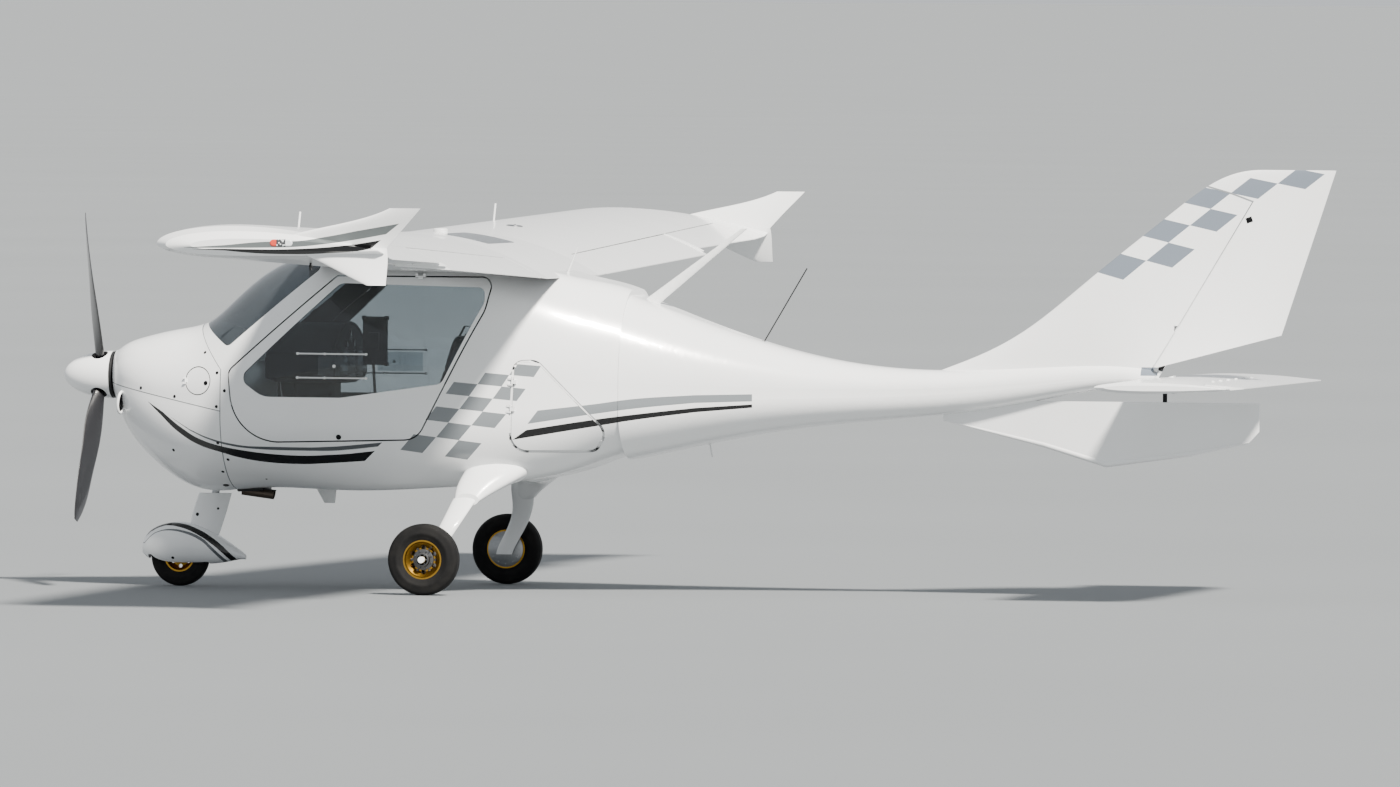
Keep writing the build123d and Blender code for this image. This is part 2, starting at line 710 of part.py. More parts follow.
def wheel(name, centre, tyre_radius, width, rim_radius, bore, side_name):
    x, y, z = centre
    with BuildPart() as tyre:
        with BuildSketch(Plane.XY) as profile:
            with BuildLine():
                FilletPolyline((rim_radius + 0.3, -width * 0.36), (tyre_radius * 0.72, -width / 2),
                               (tyre_radius, -width * 0.40), (tyre_radius, width * 0.40),
                               (tyre_radius * 0.72, width / 2), (rim_radius + 0.3, width * 0.36),
                               radius=[0, width * 0.22, width * 0.28, width * 0.28, width * 0.22, 0], close=True)
            make_face()
        revolve(axis=Axis.Y)
    with BuildPart() as placed_tyre:
        add(Pos(x, y, z) * tyre.part)
    keep(placed_tyre, f"{name}_tyre{side_name}")
    bead = width * 0.36
    with BuildPart() as rim:
        with BuildSketch(Plane.XY):
            with BuildLine():
                Polyline((bore, -bead), (bore + 14, -bead), (bore + 14, -bead * 0.55),
                         (rim_radius * 0.62, -bead * 0.30), (rim_radius - 12, -bead * 0.62),
                         (rim_radius - 7, -bead), (rim_radius, -bead), (rim_radius, bead),
                         (rim_radius - 7, bead), (rim_radius - 12, bead * 0.72), (rim_radius * 0.62, bead * 0.05),
                         (bore + 14, bead * 0.15), (bore + 14, bead * 0.9), (bore, bead * 0.9), close=True)
            make_face()
        revolve(axis=Axis.Y)
        with Locations(Location((0, 0, 0), (90, 0, 0))):
            with PolarLocations(rim_radius * 0.62, 6, start_angle=30):
                Cylinder(rim_radius * 0.13, 4 * bead, mode=Mode.SUBTRACT)
    with BuildPart() as placed_rim:
        add(Pos(x, y, z) * rim.part)
    keep(placed_rim, f"{name}_rim{side_name}")
    return placed_rim


for side, side_name in ((1, "_left"), (-1, "_right")):
    wheel("main", (main_wheel[0], side * main_wheel[1], main_wheel[2]), main_tyre_radius, main_tyre_width,
          main_rim_radius, axle_radius + axle_clearance, side_name)
wheel("nose", (nose_wheel[0], 0, nose_wheel[1]), nose_tyre_radius, nose_tyre_width, nose_rim_radius,
      nose_axle_radius + axle_clearance, "")

# Nose wheel pant, leg fairing and fork
def pant_body(inset):
    with BuildPart() as body:
        for x, bottom, top, half in pant_rows:
            with BuildSketch(Plane.YZ.offset(x)):
                with BuildLine():
                    fuselage_section(bottom + inset, top - inset, half - inset, (bottom + top) / 2, 0.2, 1)
                make_face()
        loft()
    return body.part


pant_outer = pant_body(0)
pant_wall = 5
with BuildPart() as nose_pant:
    add(pant_outer)
    add(pant_body(pant_wall), mode=Mode.SUBTRACT)
    with BuildSketch(Plane.XY.offset(60)):
        with Locations((nose_wheel[0], 0)):
            RectangleRounded(2 * nose_tyre_radius + 24, nose_tyre_width + 22, 15)
    extrude(amount=90, mode=Mode.SUBTRACT)
    add(rod(on_steer_axis(240), on_steer_axis(330), strut_radius + seam), mode=Mode.SUBTRACT)
keep(nose_pant, "nose_pant")
with BuildPart() as nose_leg:
    for z, nose, tail, thick in nose_leg_rows:
        with BuildSketch(Plane.XY.offset(z)):
            with BuildLine():
                foil(nose, tail, nose - 0.35 * (nose - tail), thick / 2, thick / 2)
            make_face()
    loft()
    add(pant_outer, mode=Mode.SUBTRACT)
    add(rod(on_steer_axis(200), on_steer_axis(500), strut_radius + seam), mode=Mode.SUBTRACT)
keep(nose_leg, "nose_leg_fairing")
crown_z = 243
fork_half = 54
fork_plate = 6
with BuildPart() as nose_fork:
    add(rod(on_steer_axis(crown_z), on_steer_axis(625), strut_radius))
    crown = on_steer_axis(crown_z)
    add(block((crown[0] - 15, crown[0] + 15), (-fork_half, fork_half), (crown_z - 7, crown_z + 7)))
    for side_y in (fork_half, -fork_half + fork_plate):
        with BuildSketch(Plane.XZ.offset(-side_y)):
            with BuildLine():
                CenterArc((crown[0], crown_z), 7, 0, 360)
                CenterArc((nose_wheel[0], nose_wheel[1]), 17, 0, 360)
            make_hull()
        extrude(amount=fork_plate)
    axle_ends = [(nose_wheel[0], side * fork_half, nose_wheel[1]) for side in (-1, 1)]
    add(rod(*axle_ends, nose_axle_radius))
keep(nose_fork, "nose_fork")
with BuildPart() as strut_bearing:
    with BuildSketch(Plane.XZ.offset(-45)):
        with BuildLine():
            Polyline((bay_back, 520), (2350, 520), (2350, 620), (bay_back, 620), close=True)
        make_face()
    extrude(amount=90)
    add(rod(on_steer_axis(480), on_steer_axis(640), strut_radius + axle_clearance), mode=Mode.SUBTRACT)
keep(strut_bearing, "nose_strut_bearing")

# Propeller
with BuildPart() as spinner:
    with BuildSketch(Plane.XZ):
        with BuildLine():
            middle = (spinner_base, prop_z)
            length = spinner_tip - spinner_base
            EllipticalCenterArc(middle, length, spinner_radius, 0, arc_size=90)
            EllipticalCenterArc(middle, length - 5, spinner_radius - spinner_wall, 0, arc_size=90)
            Line((spinner_tip, prop_z), (spinner_tip - 5, prop_z))
            Line((spinner_base, prop_z + spinner_radius), (spinner_base, prop_z + spinner_radius - spinner_wall))
        make_face()
    revolve(axis=Axis((0, 0, prop_z), (1, 0, 0)))
    for angle in blade_angles:
        out = Vector(0, sin(radians(angle)), cos(radians(angle)))
        root = Vector(blade_x, 0, prop_z)
        add(rod(root + out * 60, root + out * 150, 40), mode=Mode.SUBTRACT)
keep(spinner, "spinner")
with BuildPart() as backplate:
    with BuildSketch(Plane.YZ.offset(spinner_base - 14)):
        with Locations((0, prop_z)):
            Circle(spinner_radius - 2)
            Circle(shaft_radius + 0.3, mode=Mode.SUBTRACT)
    extrude(amount=14 - 0.3)
keep(backplate, "spinner_backplate")
hub_middle = Vector(blade_x, 0, prop_z)


def propeller_blade(angle, out):
    swing = Vector(0, -cos(radians(angle)), sin(radians(angle)))
    with BuildPart() as blade:
        for radius, chord, thick, pitch, sweep in blade_rows:
            edge_way = swing * cos(radians(pitch)) + Vector(1, 0, 0) * sin(radians(pitch))
            place = hub_middle + out * radius - swing * sweep
            with BuildSketch(Plane(origin=place, x_dir=edge_way, z_dir=out)):
                Ellipse(chord / 2, thick / 2)
        loft()
    return blade.part


with BuildPart() as propeller:
    with BuildSketch(Plane.YZ.offset(spinner_base)):
        with Locations((0, prop_z)):
            Circle(66)
    extrude(amount=100)
    with BuildSketch(Plane.YZ.offset(engine_front)):
        with Locations((0, prop_z)):
            Circle(shaft_radius)
    extrude(amount=spinner_base - engine_front)
    for angle in blade_angles:
        out = Vector(0, sin(radians(angle)), cos(radians(angle)))
        add(propeller_blade(angle, out))
        add(rod(hub_middle + out * 30, hub_middle + out * 78, 27))
keep(propeller, "propeller")

# Brake calipers on the legs, beside the rims
with BuildPart() as brake:
    add(block((1062, 1100), (800, 848), (212, 246)))
    fillet(brake.edges().filter_by(Axis.Y), 8)
    add(leg.part, mode=Mode.SUBTRACT)
both_sides("brake", brake)

# Aerials, fuel vents and tie-down eyes, each cut to the skin that it stands on
with BuildPart() as com_aerial:
    for z, nose, tail, thick in ((1340, 328, 212, 26), (1400, 242, 150, 20), (1741, -222, -252, 9)):
        with BuildSketch(Plane.XY.offset(z)):
            with Locations(((nose + tail) / 2, 0)):
                Ellipse((nose - tail) / 2, thick / 2)
    loft(ruled=True)
    add(tail_outer, mode=Mode.SUBTRACT)
    add(block((tail_joint, 500), (-100, 100), (1200, 1500)), mode=Mode.SUBTRACT)
keep(com_aerial, "com_aerial")
with BuildPart() as whip_aerial:
    add(rod((-322, 0, 1177), (-543, 0, 1554), 3))
    add(rod((-320, 0, 1173), (-338, 0, 1204), 11))
    add(tail_outer, mode=Mode.SUBTRACT)
keep(whip_aerial, "whip_aerial")
with BuildPart() as belly_aerial:
    for z, nose, tail, thick in ((500, 1866, 1750, 22), (406, 1812, 1760, 12)):
        with BuildSketch(Plane.XY.offset(z)):
            with Locations(((nose + tail) / 2, 0)):
                Ellipse((nose - tail) / 2, thick / 2)
    loft(ruled=True)
    add(cabin_outer, mode=Mode.SUBTRACT)
keep(belly_aerial, "belly_aerial")
with BuildPart() as roof_aerial:
    add(rod((1250, 0, 1690), (1250, 0, 1728), 34))
    fillet(roof_aerial.edges().sort_by(Axis.Z)[-1], 8)
    add(middle_wing, mode=Mode.SUBTRACT)
keep(roof_aerial, "roof_aerial")

vent_place = (1462, 2050)
eye_place = (1170, 3000)
eye_radius = 8
eye_drop = 20
eye_share = (eye_place[1] - wing_root[0]) / (wing_tip[0] - wing_root[0])
belly_at_eye = wing_root[5] + (wing_tip[5] - wing_root[5]) * eye_share
with BuildPart() as vent:
    add(rod((vent_place[0], vent_place[1], 1700), (vent_place[0] - 12, vent_place[1], 1826), 5))
    add(wing.part, mode=Mode.SUBTRACT)
both_sides("fuel_vent", vent)
with BuildPart() as eye:
    with BuildSketch(Plane.YZ.offset(eye_place[0] - 4)):
        with Locations((eye_place[1], belly_at_eye - eye_drop)):
            Circle(eye_radius + 8)
        with Locations((eye_place[1], belly_at_eye)):
            Rectangle(18, 2 * eye_drop)
        with Locations((eye_place[1], belly_at_eye - eye_drop)):
            Circle(eye_radius, mode=Mode.SUBTRACT)
    extrude(amount=8)
    add(wing.part, mode=Mode.SUBTRACT)
both_sides("tie_down_eye", eye)

# Cabin: seats, cushions, panel, console, sticks and pedals
seat_front = Vector(1600, 0, 700)
seat_heel = Vector(1200, 0, 650)
seat_top = Vector(1010, 0, 1235)
pan_thick = 18
cushion_thick = 70
back_thick = 58
pan_way = (seat_front - seat_heel).normalized()
pan_up = Vector(-pan_way.Z, 0, pan_way.X)
back_way = (seat_top - seat_heel).normalized()
back_out = Vector(back_way.Z, 0, -back_way.X)


def outline(*points):
    return [(point.X, point.Z) for point in points]


def two_seats(points, width, radius=0.0):
    # The same side outline at both seats
    with BuildPart() as pair:
        for side in (-1, 1):
            with BuildSketch(Plane.XZ.offset(-side * seat_y - width / 2)):
                with BuildLine():
                    FilletPolyline(*points, radius=radius, close=True)
                make_face()
            extrude(amount=width)
    return pair.part


heel_under = seat_heel - pan_up * pan_thick - back_out * pan_thick
seat_profile = outline(seat_front, seat_heel, seat_top, seat_top - back_out * pan_thick, heel_under,
                       seat_front - pan_up * pan_thick)
with BuildPart() as seat_shells:
    add(two_seats(seat_profile, seat_width, 3))
    add(two_seats(outline(seat_front - pan_way * 40 - pan_up * pan_thick / 2, Vector(1555, 0, floor_z),
                          Vector(1200, 0, floor_z), seat_heel - pan_up * pan_thick / 2), 340, 3))
keep(seat_shells, "seat_shells")
lift = 0.4
cushion_low = seat_heel + pan_up * lift + pan_way * (back_thick + 6)
cushion_front = seat_front + pan_up * lift - pan_way * 4
with BuildPart() as seat_cushions:
    add(two_seats(outline(cushion_low, cushion_front, cushion_front + pan_up * cushion_thick,
                          cushion_low + pan_up * cushion_thick), seat_width - 20, 18))
keep(seat_cushions, "seat_cushions")
back_low = seat_heel + back_out * lift + back_way * 12
back_high = seat_top + back_out * lift - back_way * 8
with BuildPart() as back_cushions:
    add(two_seats(outline(back_low, back_high, back_high + back_out * back_thick,
                          back_low + back_out * back_thick), seat_width - 20, 18))
keep(back_cushions, "back_cushions")

with BuildPart() as panel:
    with BuildSketch(Plane.YZ.offset(panel_back)):
        with BuildLine():
            Polyline((-330, 1130), (-320, 1010), (-110, 985), (110, 985), (320, 1010), (330, 1130))
            ThreePointArc((330, 1130), (0, 1272), (-330, 1130))
        make_face()
    extrude(amount=panel_front - panel_back)
    with BuildSketch(Plane.XY.offset(floor_z)):
        with Locations((1850, 0)):
            RectangleRounded(200, 180, 30)
    extrude(amount=985 - floor_z)
    fillet(panel.edges().filter_by(GeomType.CIRCLE).group_by(Axis.X)[-1], 30)
keep(panel, "instrument_panel")
with BuildPart() as console:
    with BuildSketch(Plane.XZ.offset(-36)):
        with BuildLine():
            FilletPolyline((1690, floor_z), (1690, 690), (1560, 720), (1010, 668), (1010, floor_z),
                           radius=[0, 20, 40, 20, 0], close=True)
        make_face()
    extrude(amount=72)
    add(rod((1600, 0, 700), (1640, 0, 800), 7))
    add(rod((1637, 0, 792), (1650, 0, 824), 16))
keep(console, "centre_console")
with BuildPart() as sticks:
    for side in (-1, 1):
        add(rod((1689, side * seat_y, floor_z + 6), (1660, side * seat_y, 800), 10))
        add(rod((1661, side * seat_y, 790), (1648, side * seat_y, 905), 17))
        add(rod((1690, side * seat_y, floor_z), (1690, side * seat_y, floor_z + 25), 32))
keep(sticks, "control_sticks")
with BuildPart() as pedals:
    for y in (-315, -205, 205, 315):
        add(rod((2070, y, floor_z), (2070, y, 700), 8))
        add(Pos(2070, y, 690) * (Rot(0, -20, 0) * Box(10, 78, 120, mode=Mode.PRIVATE)))
keep(pedals, "rudder_pedals")
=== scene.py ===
import bpy
import bmesh
import math
from functools import partial
from mathutils import Matrix, Vector
from mathutils.geometry import intersect_point_line


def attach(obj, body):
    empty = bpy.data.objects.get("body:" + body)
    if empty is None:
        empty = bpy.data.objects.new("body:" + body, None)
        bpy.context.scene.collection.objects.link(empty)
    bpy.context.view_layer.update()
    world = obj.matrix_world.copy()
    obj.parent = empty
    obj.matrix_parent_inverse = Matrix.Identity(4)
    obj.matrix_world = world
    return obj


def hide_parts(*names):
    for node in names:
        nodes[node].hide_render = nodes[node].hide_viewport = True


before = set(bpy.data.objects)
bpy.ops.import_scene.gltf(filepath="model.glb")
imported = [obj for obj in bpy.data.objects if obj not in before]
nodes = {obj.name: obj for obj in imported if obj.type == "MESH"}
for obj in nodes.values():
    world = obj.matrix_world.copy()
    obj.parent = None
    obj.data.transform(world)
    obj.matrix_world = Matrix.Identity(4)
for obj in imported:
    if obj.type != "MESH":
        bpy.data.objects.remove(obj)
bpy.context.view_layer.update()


def hexToLinear(code):
    # sRGB hex to the linear values that the shaders take
    parts = [int(code[i:i + 2], 16) / 255 for i in (0, 2, 4)]
    return [p / 12.92 if p <= 0.04045 else ((p + 0.055) / 1.055) ** 2.4 for p in parts] + [1.0]


def feed(tree, node, inputs):
    # an input takes a value, a hex colour or the socket that drives it
    for key, value in inputs:
        if isinstance(value, bpy.types.NodeSocket):
            tree.links.new(value, node.inputs[key])
        else:
            node.inputs[key].default_value = hexToLinear(value) if isinstance(value, str) else value


def addNode(tree, kind, inputs=(), output=0, **settings):
    # one node with its settings and links; it gives back one of its outputs
    node = tree.nodes.new("ShaderNode" + kind)
    for key, value in settings.items():
        setattr(node, key, value)
    feed(tree, node, inputs.items() if isinstance(inputs, dict) else enumerate(inputs))
    return node.outputs[output]


def startMaterial(name):
    # a new material, its node adder, and the piece's own coordinates, whole and as x, y and z
    material = bpy.data.materials.new(name)
    material.use_nodes = True
    add = partial(addNode, material.node_tree)
    spot = add("TexCoord", output="Object")
    return material, add, spot, add("SeparateXYZ", (spot,)).node.outputs


def finishMaterial(material, add, colour, layers, bump=None, **shaderInputs):
    # lay each colour over the last by its share; a bump is its height, strength and depth in metres
    for share, over in layers:
        colour = add("Mix", {0: share, 6: colour, 7: over}, 2, data_type="RGBA")
    inputs = {key.replace("_", " "): value for key, value in shaderInputs.items()}
    inputs["Base Color"] = colour
    if bump:
        inputs["Normal"] = add("Bump", dict(zip(("Height", "Strength", "Distance"), bump)))
    feed(material.node_tree, material.node_tree.nodes["Principled BSDF"], inputs.items())
    return material


signs = {"<": "LESS_THAN", ">": "GREATER_THAN"}


def where(add, *rules):
    # 1 where every rule holds: a rule is a ready mark, or a value, its sign and its limit
    marks = [add("Math", rule[::2], operation=signs[rule[1]]) if isinstance(rule, tuple) else rule
             for rule in rules]
    while len(marks) > 1:
        marks[:2] = [add("Math", marks[:2], operation="MULTIPLY")]
    return marks[0]


def edgeHeight(add, x, points):
    # height of a drawn edge over x, through measured points in metres
    xs, zs = zip(*points)
    x0, x1, z0, z1 = min(xs), max(xs), min(zs), max(zs)
    share = add("MapRange", (x, x0, x1, 0.0, 1.0))
    height = add("FloatCurve", (1.0, share))
    mapping = height.node.mapping
    line = mapping.curves[0]
    placed = sorted(((p[0] - x0) / (x1 - x0), (p[1] - z0) / (z1 - z0)) for p in points)
    line.points[0].location = placed[0]
    line.points[1].location = placed[-1]
    for spot in placed[1:-1]:
        line.points.new(*spot)
    for k, point in enumerate(line.points):
        # the cut ends of a stripe stay straight
        cutEnd = k in (0, 1, len(line.points) - 2, len(line.points) - 1)
        point.handle_type = "VECTOR" if cutEnd else "AUTO_CLAMPED"
    mapping.update()
    return add("MapRange", (height, 0.0, 1.0, z0, z1))


def paintedBand(add, x, z, upper, lower):
    xs = [p[0] for p in upper + lower]
    return where(add, (z, ">", edgeHeight(add, x, lower)), (z, "<", edgeHeight(add, x, upper)),
                 (x, ">", min(xs)), (x, "<", max(xs)))


def slantedGrid(add, x, z, across, along):
    # cell numbers of a slanted checker grid; both rules are over x, z and z squared
    square = add("Math", (z, z), operation="MULTIPLY")
    spot = add("CombineXYZ", (x, z, square))
    u, v = [add("Math", (add("VectorMath", (spot, rule[:3]), "Value", operation="DOT_PRODUCT"),
                         rule[3]), operation="ADD") for rule in (across, along)]
    # the first column runs on forward, round the fin's nose
    column = add("Math", (add("Math", (u, 0.0), operation="MAXIMUM"),), operation="FLOOR")
    total = add("Math", (column, add("Math", (v,), operation="FLOOR")), operation="ADD")
    even = where(add, (add("Math", (total, 2.0), operation="FLOORED_MODULO"), "<", 0.5))
    return u, v, even


paint = {"white": "F1F3F4", "black": "030304", "silver": "777D81", "dust": "D9D8D2",
         "lining": "2B2D30", "seamLine": "6E7376", "noseGrey": "53575A", "finGrey": "6F7883",
         "tipGrey": "5F6566", "pantGrey": "5C6165"}

# each stripe is its upper and its lower edge, in x and z
livery = {
    "noseBlack": (
        [(2.599, 0.891), (2.519, 0.845), (2.411, 0.768), (2.306, 0.713), (2.202, 0.684),
         (2.098, 0.667), (1.955, 0.652), (1.792, 0.646), (1.65, 0.652), (1.549, 0.659),
         (1.426, 0.674)],
        [(2.599, 0.890), (2.531, 0.832), (2.424, 0.743), (2.309, 0.683), (2.205, 0.654),
         (2.106, 0.629), (1.964, 0.610), (1.8, 0.605), (1.656, 0.612), (1.555, 0.619),
         (1.48, 0.625), (1.426, 0.673)]),
    "noseGrey": (
        [(2.47, 0.819), (2.367, 0.762), (2.261, 0.722), (2.158, 0.699), (2.055, 0.687),
         (1.787, 0.686), (1.646, 0.691), (1.546, 0.699), (1.388, 0.715)],
        [(2.47, 0.818), (2.367, 0.756), (2.262, 0.714), (2.159, 0.688), (2.056, 0.676),
         (1.789, 0.67), (1.648, 0.671), (1.548, 0.679), (1.409, 0.695), (1.388, 0.714)]),
    "sideGrey": (
        [(0.693, 0.811), (0.646, 0.874), (0.401, 0.904), (0.192, 0.933), (-0.068, 0.951),
         (-0.335, 0.957)],
        [(0.693, 0.81), (0.403, 0.857), (0.192, 0.887), (-0.068, 0.914), (-0.335, 0.923)]),
    "sideBlack": (
        [(0.764, 0.735), (0.7, 0.781), (0.402, 0.83), (0.193, 0.859), (-0.068, 0.89),
         (-0.335, 0.909)],
        [(0.764, 0.734), (0.405, 0.797), (0.195, 0.833), (-0.067, 0.869), (-0.335, 0.893)]),
    "tipGrey": (
        [(1.471, 1.685), (1.276, 1.698), (1.088, 1.715), (0.957, 1.718), (0.813, 1.739),
         (0.662, 1.768), (0.466, 1.803)],
        [(1.471, 1.684), (1.275, 1.685), (1.088, 1.688), (0.957, 1.692), (0.808, 1.707),
         (0.664, 1.729), (0.529, 1.754), (0.466, 1.802)]),
    "tipBlack": (
        [(1.432, 1.679), (1.275, 1.681), (1.088, 1.68), (0.957, 1.683), (0.807, 1.692),
         (0.665, 1.708), (0.555, 1.727)],
        [(1.432, 1.678), (1.275, 1.673), (1.183, 1.665), (1.091, 1.66), (0.96, 1.659),
         (0.81, 1.664), (0.658, 1.676), (0.604, 1.686), (0.555, 1.726)]),
}
# lines on the nose wheel's cover: middle, half width at the nose and at the tail, colour
pantLines = (
    ([(2.69, 0.238), (2.66, 0.262), (2.61, 0.287), (2.564, 0.297), (2.496, 0.289), (2.424, 0.263),
      (2.352, 0.22), (2.297, 0.175), (2.24, 0.115)], 0.005, 0.018, paint["black"]),
    ([(2.69, 0.205), (2.66, 0.235), (2.625, 0.257), (2.556, 0.27), (2.483, 0.26), (2.405, 0.229),
      (2.35, 0.182), (2.27, 0.1)], 0.002, 0.012, paint["pantGrey"]),
)
# rules for u and v of the two checker grids: factors of x, z and z squared, and what is added
sideGrid = ((-8.381, -12.877, 3.643, 17.985), (-1.517, -1.076, 8.986, -1.458))
finGrid = ((-6.074, -5.72, -0.519, -1.784), (-2.162, -2.078, 3.311, -8.958))
sideBlock = {"columns": 3.0, "rows": 5.0}                          # each column starts a row higher
finBlocks = ((-0.6, 2.0, 0.0, 6.0), (2.0, 3.0, 6.0, 7.0))          # u from and to, v from and to
finFoot = {"x": (-2.247, -2.175), "z": (1.062, 1.102)}
tipPlane = {"height": 1.69, "lean": 0.27, "y": 4.192}              # middle plane of the tip fins
pantTaper = (2.62, 2.27)                                           # the lines widen between these x
cowlJoint = {"half": 0.0022, "bendZ": 1.05, "topZ": 1.262, "x": 2.203, "topX": 2.374,
             "splitSlope": 0.19467, "splitStart": 0.4234}
cabinLining = {"middleZ": 0.95, "turned": -0.02, "forward": 0.6, "x": (0.31, 2.17),
               "halfWidth": 0.615, "roofZ": 1.64}


def bands(add, x, z, colours):
    return [(paintedBand(add, x, z, *livery[key]), code) for key, code in colours.items()]


def sideDrawing(add, x, y, z):
    u, v, even = slantedGrid(add, x, z, *sideGrid)
    column = add("Math", (u,), operation="FLOOR")
    lastRow = add("Math", (column, sideBlock["rows"]), operation="ADD")
    checks = where(add, even, (v, "<", lastRow), (v, ">", 0.0), (u, ">", 0.0),
                   (u, "<", sideBlock["columns"]))
    return [(checks, paint["silver"])] + bands(add, x, z, {
        "noseGrey": paint["noseGrey"], "noseBlack": paint["black"],
        "sideGrey": paint["silver"], "sideBlack": paint["black"]})


def finDrawing(add, x, y, z):
    u, v, even = slantedGrid(add, x, z, *finGrid)
    blocks = [where(add, even, (u, ">", u0), (u, "<", u1), (v, ">", v0), (v, "<", v1))
              for u0, u1, v0, v1 in finBlocks]
    foot = where(add, (x, ">", finFoot["x"][0]), (x, "<", finFoot["x"][1]),
                 (z, ">", finFoot["z"][0]), (z, "<", finFoot["z"][1]))
    return [(mark, paint["finGrey"]) for mark in (*blocks, foot)] + bands(add, x, z, {
        "sideGrey": paint["silver"], "sideBlack": paint["black"]})


def tipDrawing(add, x, y, z):
    # only the outer face: outside the middle plane of the tip fins
    height = add("Math", (z, tipPlane["height"]), operation="SUBTRACT")
    middle = add("Math", (add("Math", (height,), operation="ABSOLUTE"), tipPlane["lean"],
                          tipPlane["y"]), operation="MULTIPLY_ADD")
    outer = where(add, (add("Math", (y,), operation="ABSOLUTE"), ">", middle))
    return [(where(add, outer, mark), code) for mark, code in bands(add, x, z, {
        "tipGrey": paint["tipGrey"], "tipBlack": paint["black"]})]


def pantDrawing(add, x, y, z):
    marks = []
    for points, thin, thick, code in pantLines:
        half = add("MapRange", (x, *pantTaper, thin, thick))
        middle = edgeHeight(add, x, points)
        marks.append((add("Math", (z, middle, half), operation="COMPARE"), code))
    return marks


def cowlJoints(add, x, z):
    # the cowl's rear edge, upright and then leaning forward, and the split between its halves
    rule = cowlJoint
    rear = add("MapRange", (z, rule["bendZ"], rule["topZ"], rule["x"], rule["topX"]))
    split = add("Math", (x, rule["splitSlope"], rule["splitStart"]), operation="MULTIPLY_ADD")
    upright = where(add, add("Math", (x, rear, rule["half"]), operation="COMPARE"),
                    (z, "<", rule["topZ"]))
    level = where(add, add("Math", (z, split, rule["half"]), operation="COMPARE"),
                  (x, ">", rule["x"]))
    return add("Math", (upright, level), operation="MAXIMUM")


def cabinInside(add, spot, x, y, z):
    # inner faces look back at the cabin's middle line; those that look forward stay white
    rule = cabinLining
    nx, ny, nz = add("SeparateXYZ", (spot.node.outputs["Normal"],)).node.outputs
    rise = add("Math", (z, rule["middleZ"]), operation="SUBTRACT")
    level = add("Math", (ny, y), operation="MULTIPLY")
    away = add("Math", (nz, rise, level), operation="MULTIPLY_ADD")
    return where(add, (away, "<", rule["turned"]), (nx, "<", rule["forward"]),
                 (x, ">", rule["x"][0]), (x, "<", rule["x"][1]), (z, "<", rule["roofZ"]),
                 (add("Math", (y,), operation="ABSOLUTE"), "<", rule["halfWidth"]))


def gelcoat(name, drawing=None, lined=False, seams=False):
    # polyester gelcoat over composite, moulded and polished: high gloss with a faint ripple
    material, add, spot, (x, y, z) = startMaterial(name)
    # rain dust: a soft veil that is a little warmer, in drifts about 300 mm across
    drift = add("TexNoise", {"Vector": spot, "Scale": 3.2, "Detail": 4.0, "Roughness": 0.6})
    layers = [(add("MapRange", (drift, 0.45, 0.8, 0.0, 0.12)), paint["dust"])]
    roughness = 0.22
    if seams:
        layers.append((cowlJoints(add, x, z), paint["seamLine"]))
    if drawing:
        layers += drawing(add, x, y, z)
    if lined:
        inside = cabinInside(add, spot, x, y, z)
        layers.append((inside, paint["lining"]))
        roughness = add("MapRange", (inside, 0.0, 1.0, roughness, 0.9))
    # orange peel of a sprayed gelcoat, about 8 mm from crest to crest
    peel = add("TexNoise", {"Vector": spot, "Scale": 120.0})
    return finishMaterial(material, add, paint["white"], layers, (peel, 0.02, 0.0004),
                          Roughness=roughness, IOR=1.5, Coat_Weight=0.35, Coat_Roughness=0.06)


def tintedAcrylic():
    # drape-formed acrylic panes with a light grey tint, clear and very smooth
    material, add, spot, _ = startMaterial("tintedAcrylic")
    haze = add("TexNoise", {"Vector": spot, "Scale": 6.0})
    share = add("MapRange", (haze, 0.3, 0.7, 0.0, 0.35))
    return finishMaterial(material, add, "C4CCD0", [(share, "B2BCC2")],
                          Roughness=0.02, IOR=1.49, Transmission_Weight=1.0)


def smokedAcrylic():
    # smoked acrylic of the windshield, which has a darker tint than the doors
    material, add, spot, (x, y, z) = startMaterial("smokedAcrylic")
    fade = add("MapRange", (z, 1.2, 1.6, 0.0, 1.0))
    return finishMaterial(material, add, "7E878E", [(fade, "8C959C")],
                          Roughness=0.03, IOR=1.49, Transmission_Weight=0.9)


def lacqueredCarbon():
    # twill carbon cloth under clear lacquer: the 2 mm tows are drawn 6 mm wide, so that they show
    material, add, spot, _ = startMaterial("lacqueredCarbon")
    wave = add("TexWave", {"Vector": spot, "Scale": 50.0, "Distortion": 0.0}, "Fac",
               bands_direction="DIAGONAL")
    return finishMaterial(material, add, "0C0C0E", [(wave, "202024")],
                          Roughness=0.35, IOR=1.5, Coat_Weight=0.8, Coat_Roughness=0.08)


def satinPlastic(name, dark, light, roughness=0.55, grain=260.0):
    # moulded ABS with a spark-eroded grain of about 4 mm, drawn coarse
    material, add, spot, _ = startMaterial(name)
    speck = add("TexNoise", {"Vector": spot, "Scale": grain})
    return finishMaterial(material, add, dark, [(speck, light)], (speck, 0.15, 0.0004),
                          Roughness=roughness, IOR=1.46)


def wovenFabric():
    # woven polyester seat cloth: threads every 1.2 mm drawn at 4 mm, matt with a soft sheen
    material, add, spot, _ = startMaterial("wovenFabric")
    threads = []
    for turn in (0.0, math.pi / 2):
        turned = add("Mapping", {"Vector": spot, "Rotation": (0.0, 0.0, turn)})
        threads.append(add("TexWave", {"Vector": turned, "Scale": 80.0}, "Fac"))
    weave = add("Math", threads, operation="MULTIPLY")
    return finishMaterial(material, add, "34373D", [(weave, "50545C")], (weave, 0.5, 0.0008),
                          Roughness=0.92, Sheen_Weight=0.25, Sheen_Roughness=0.4)


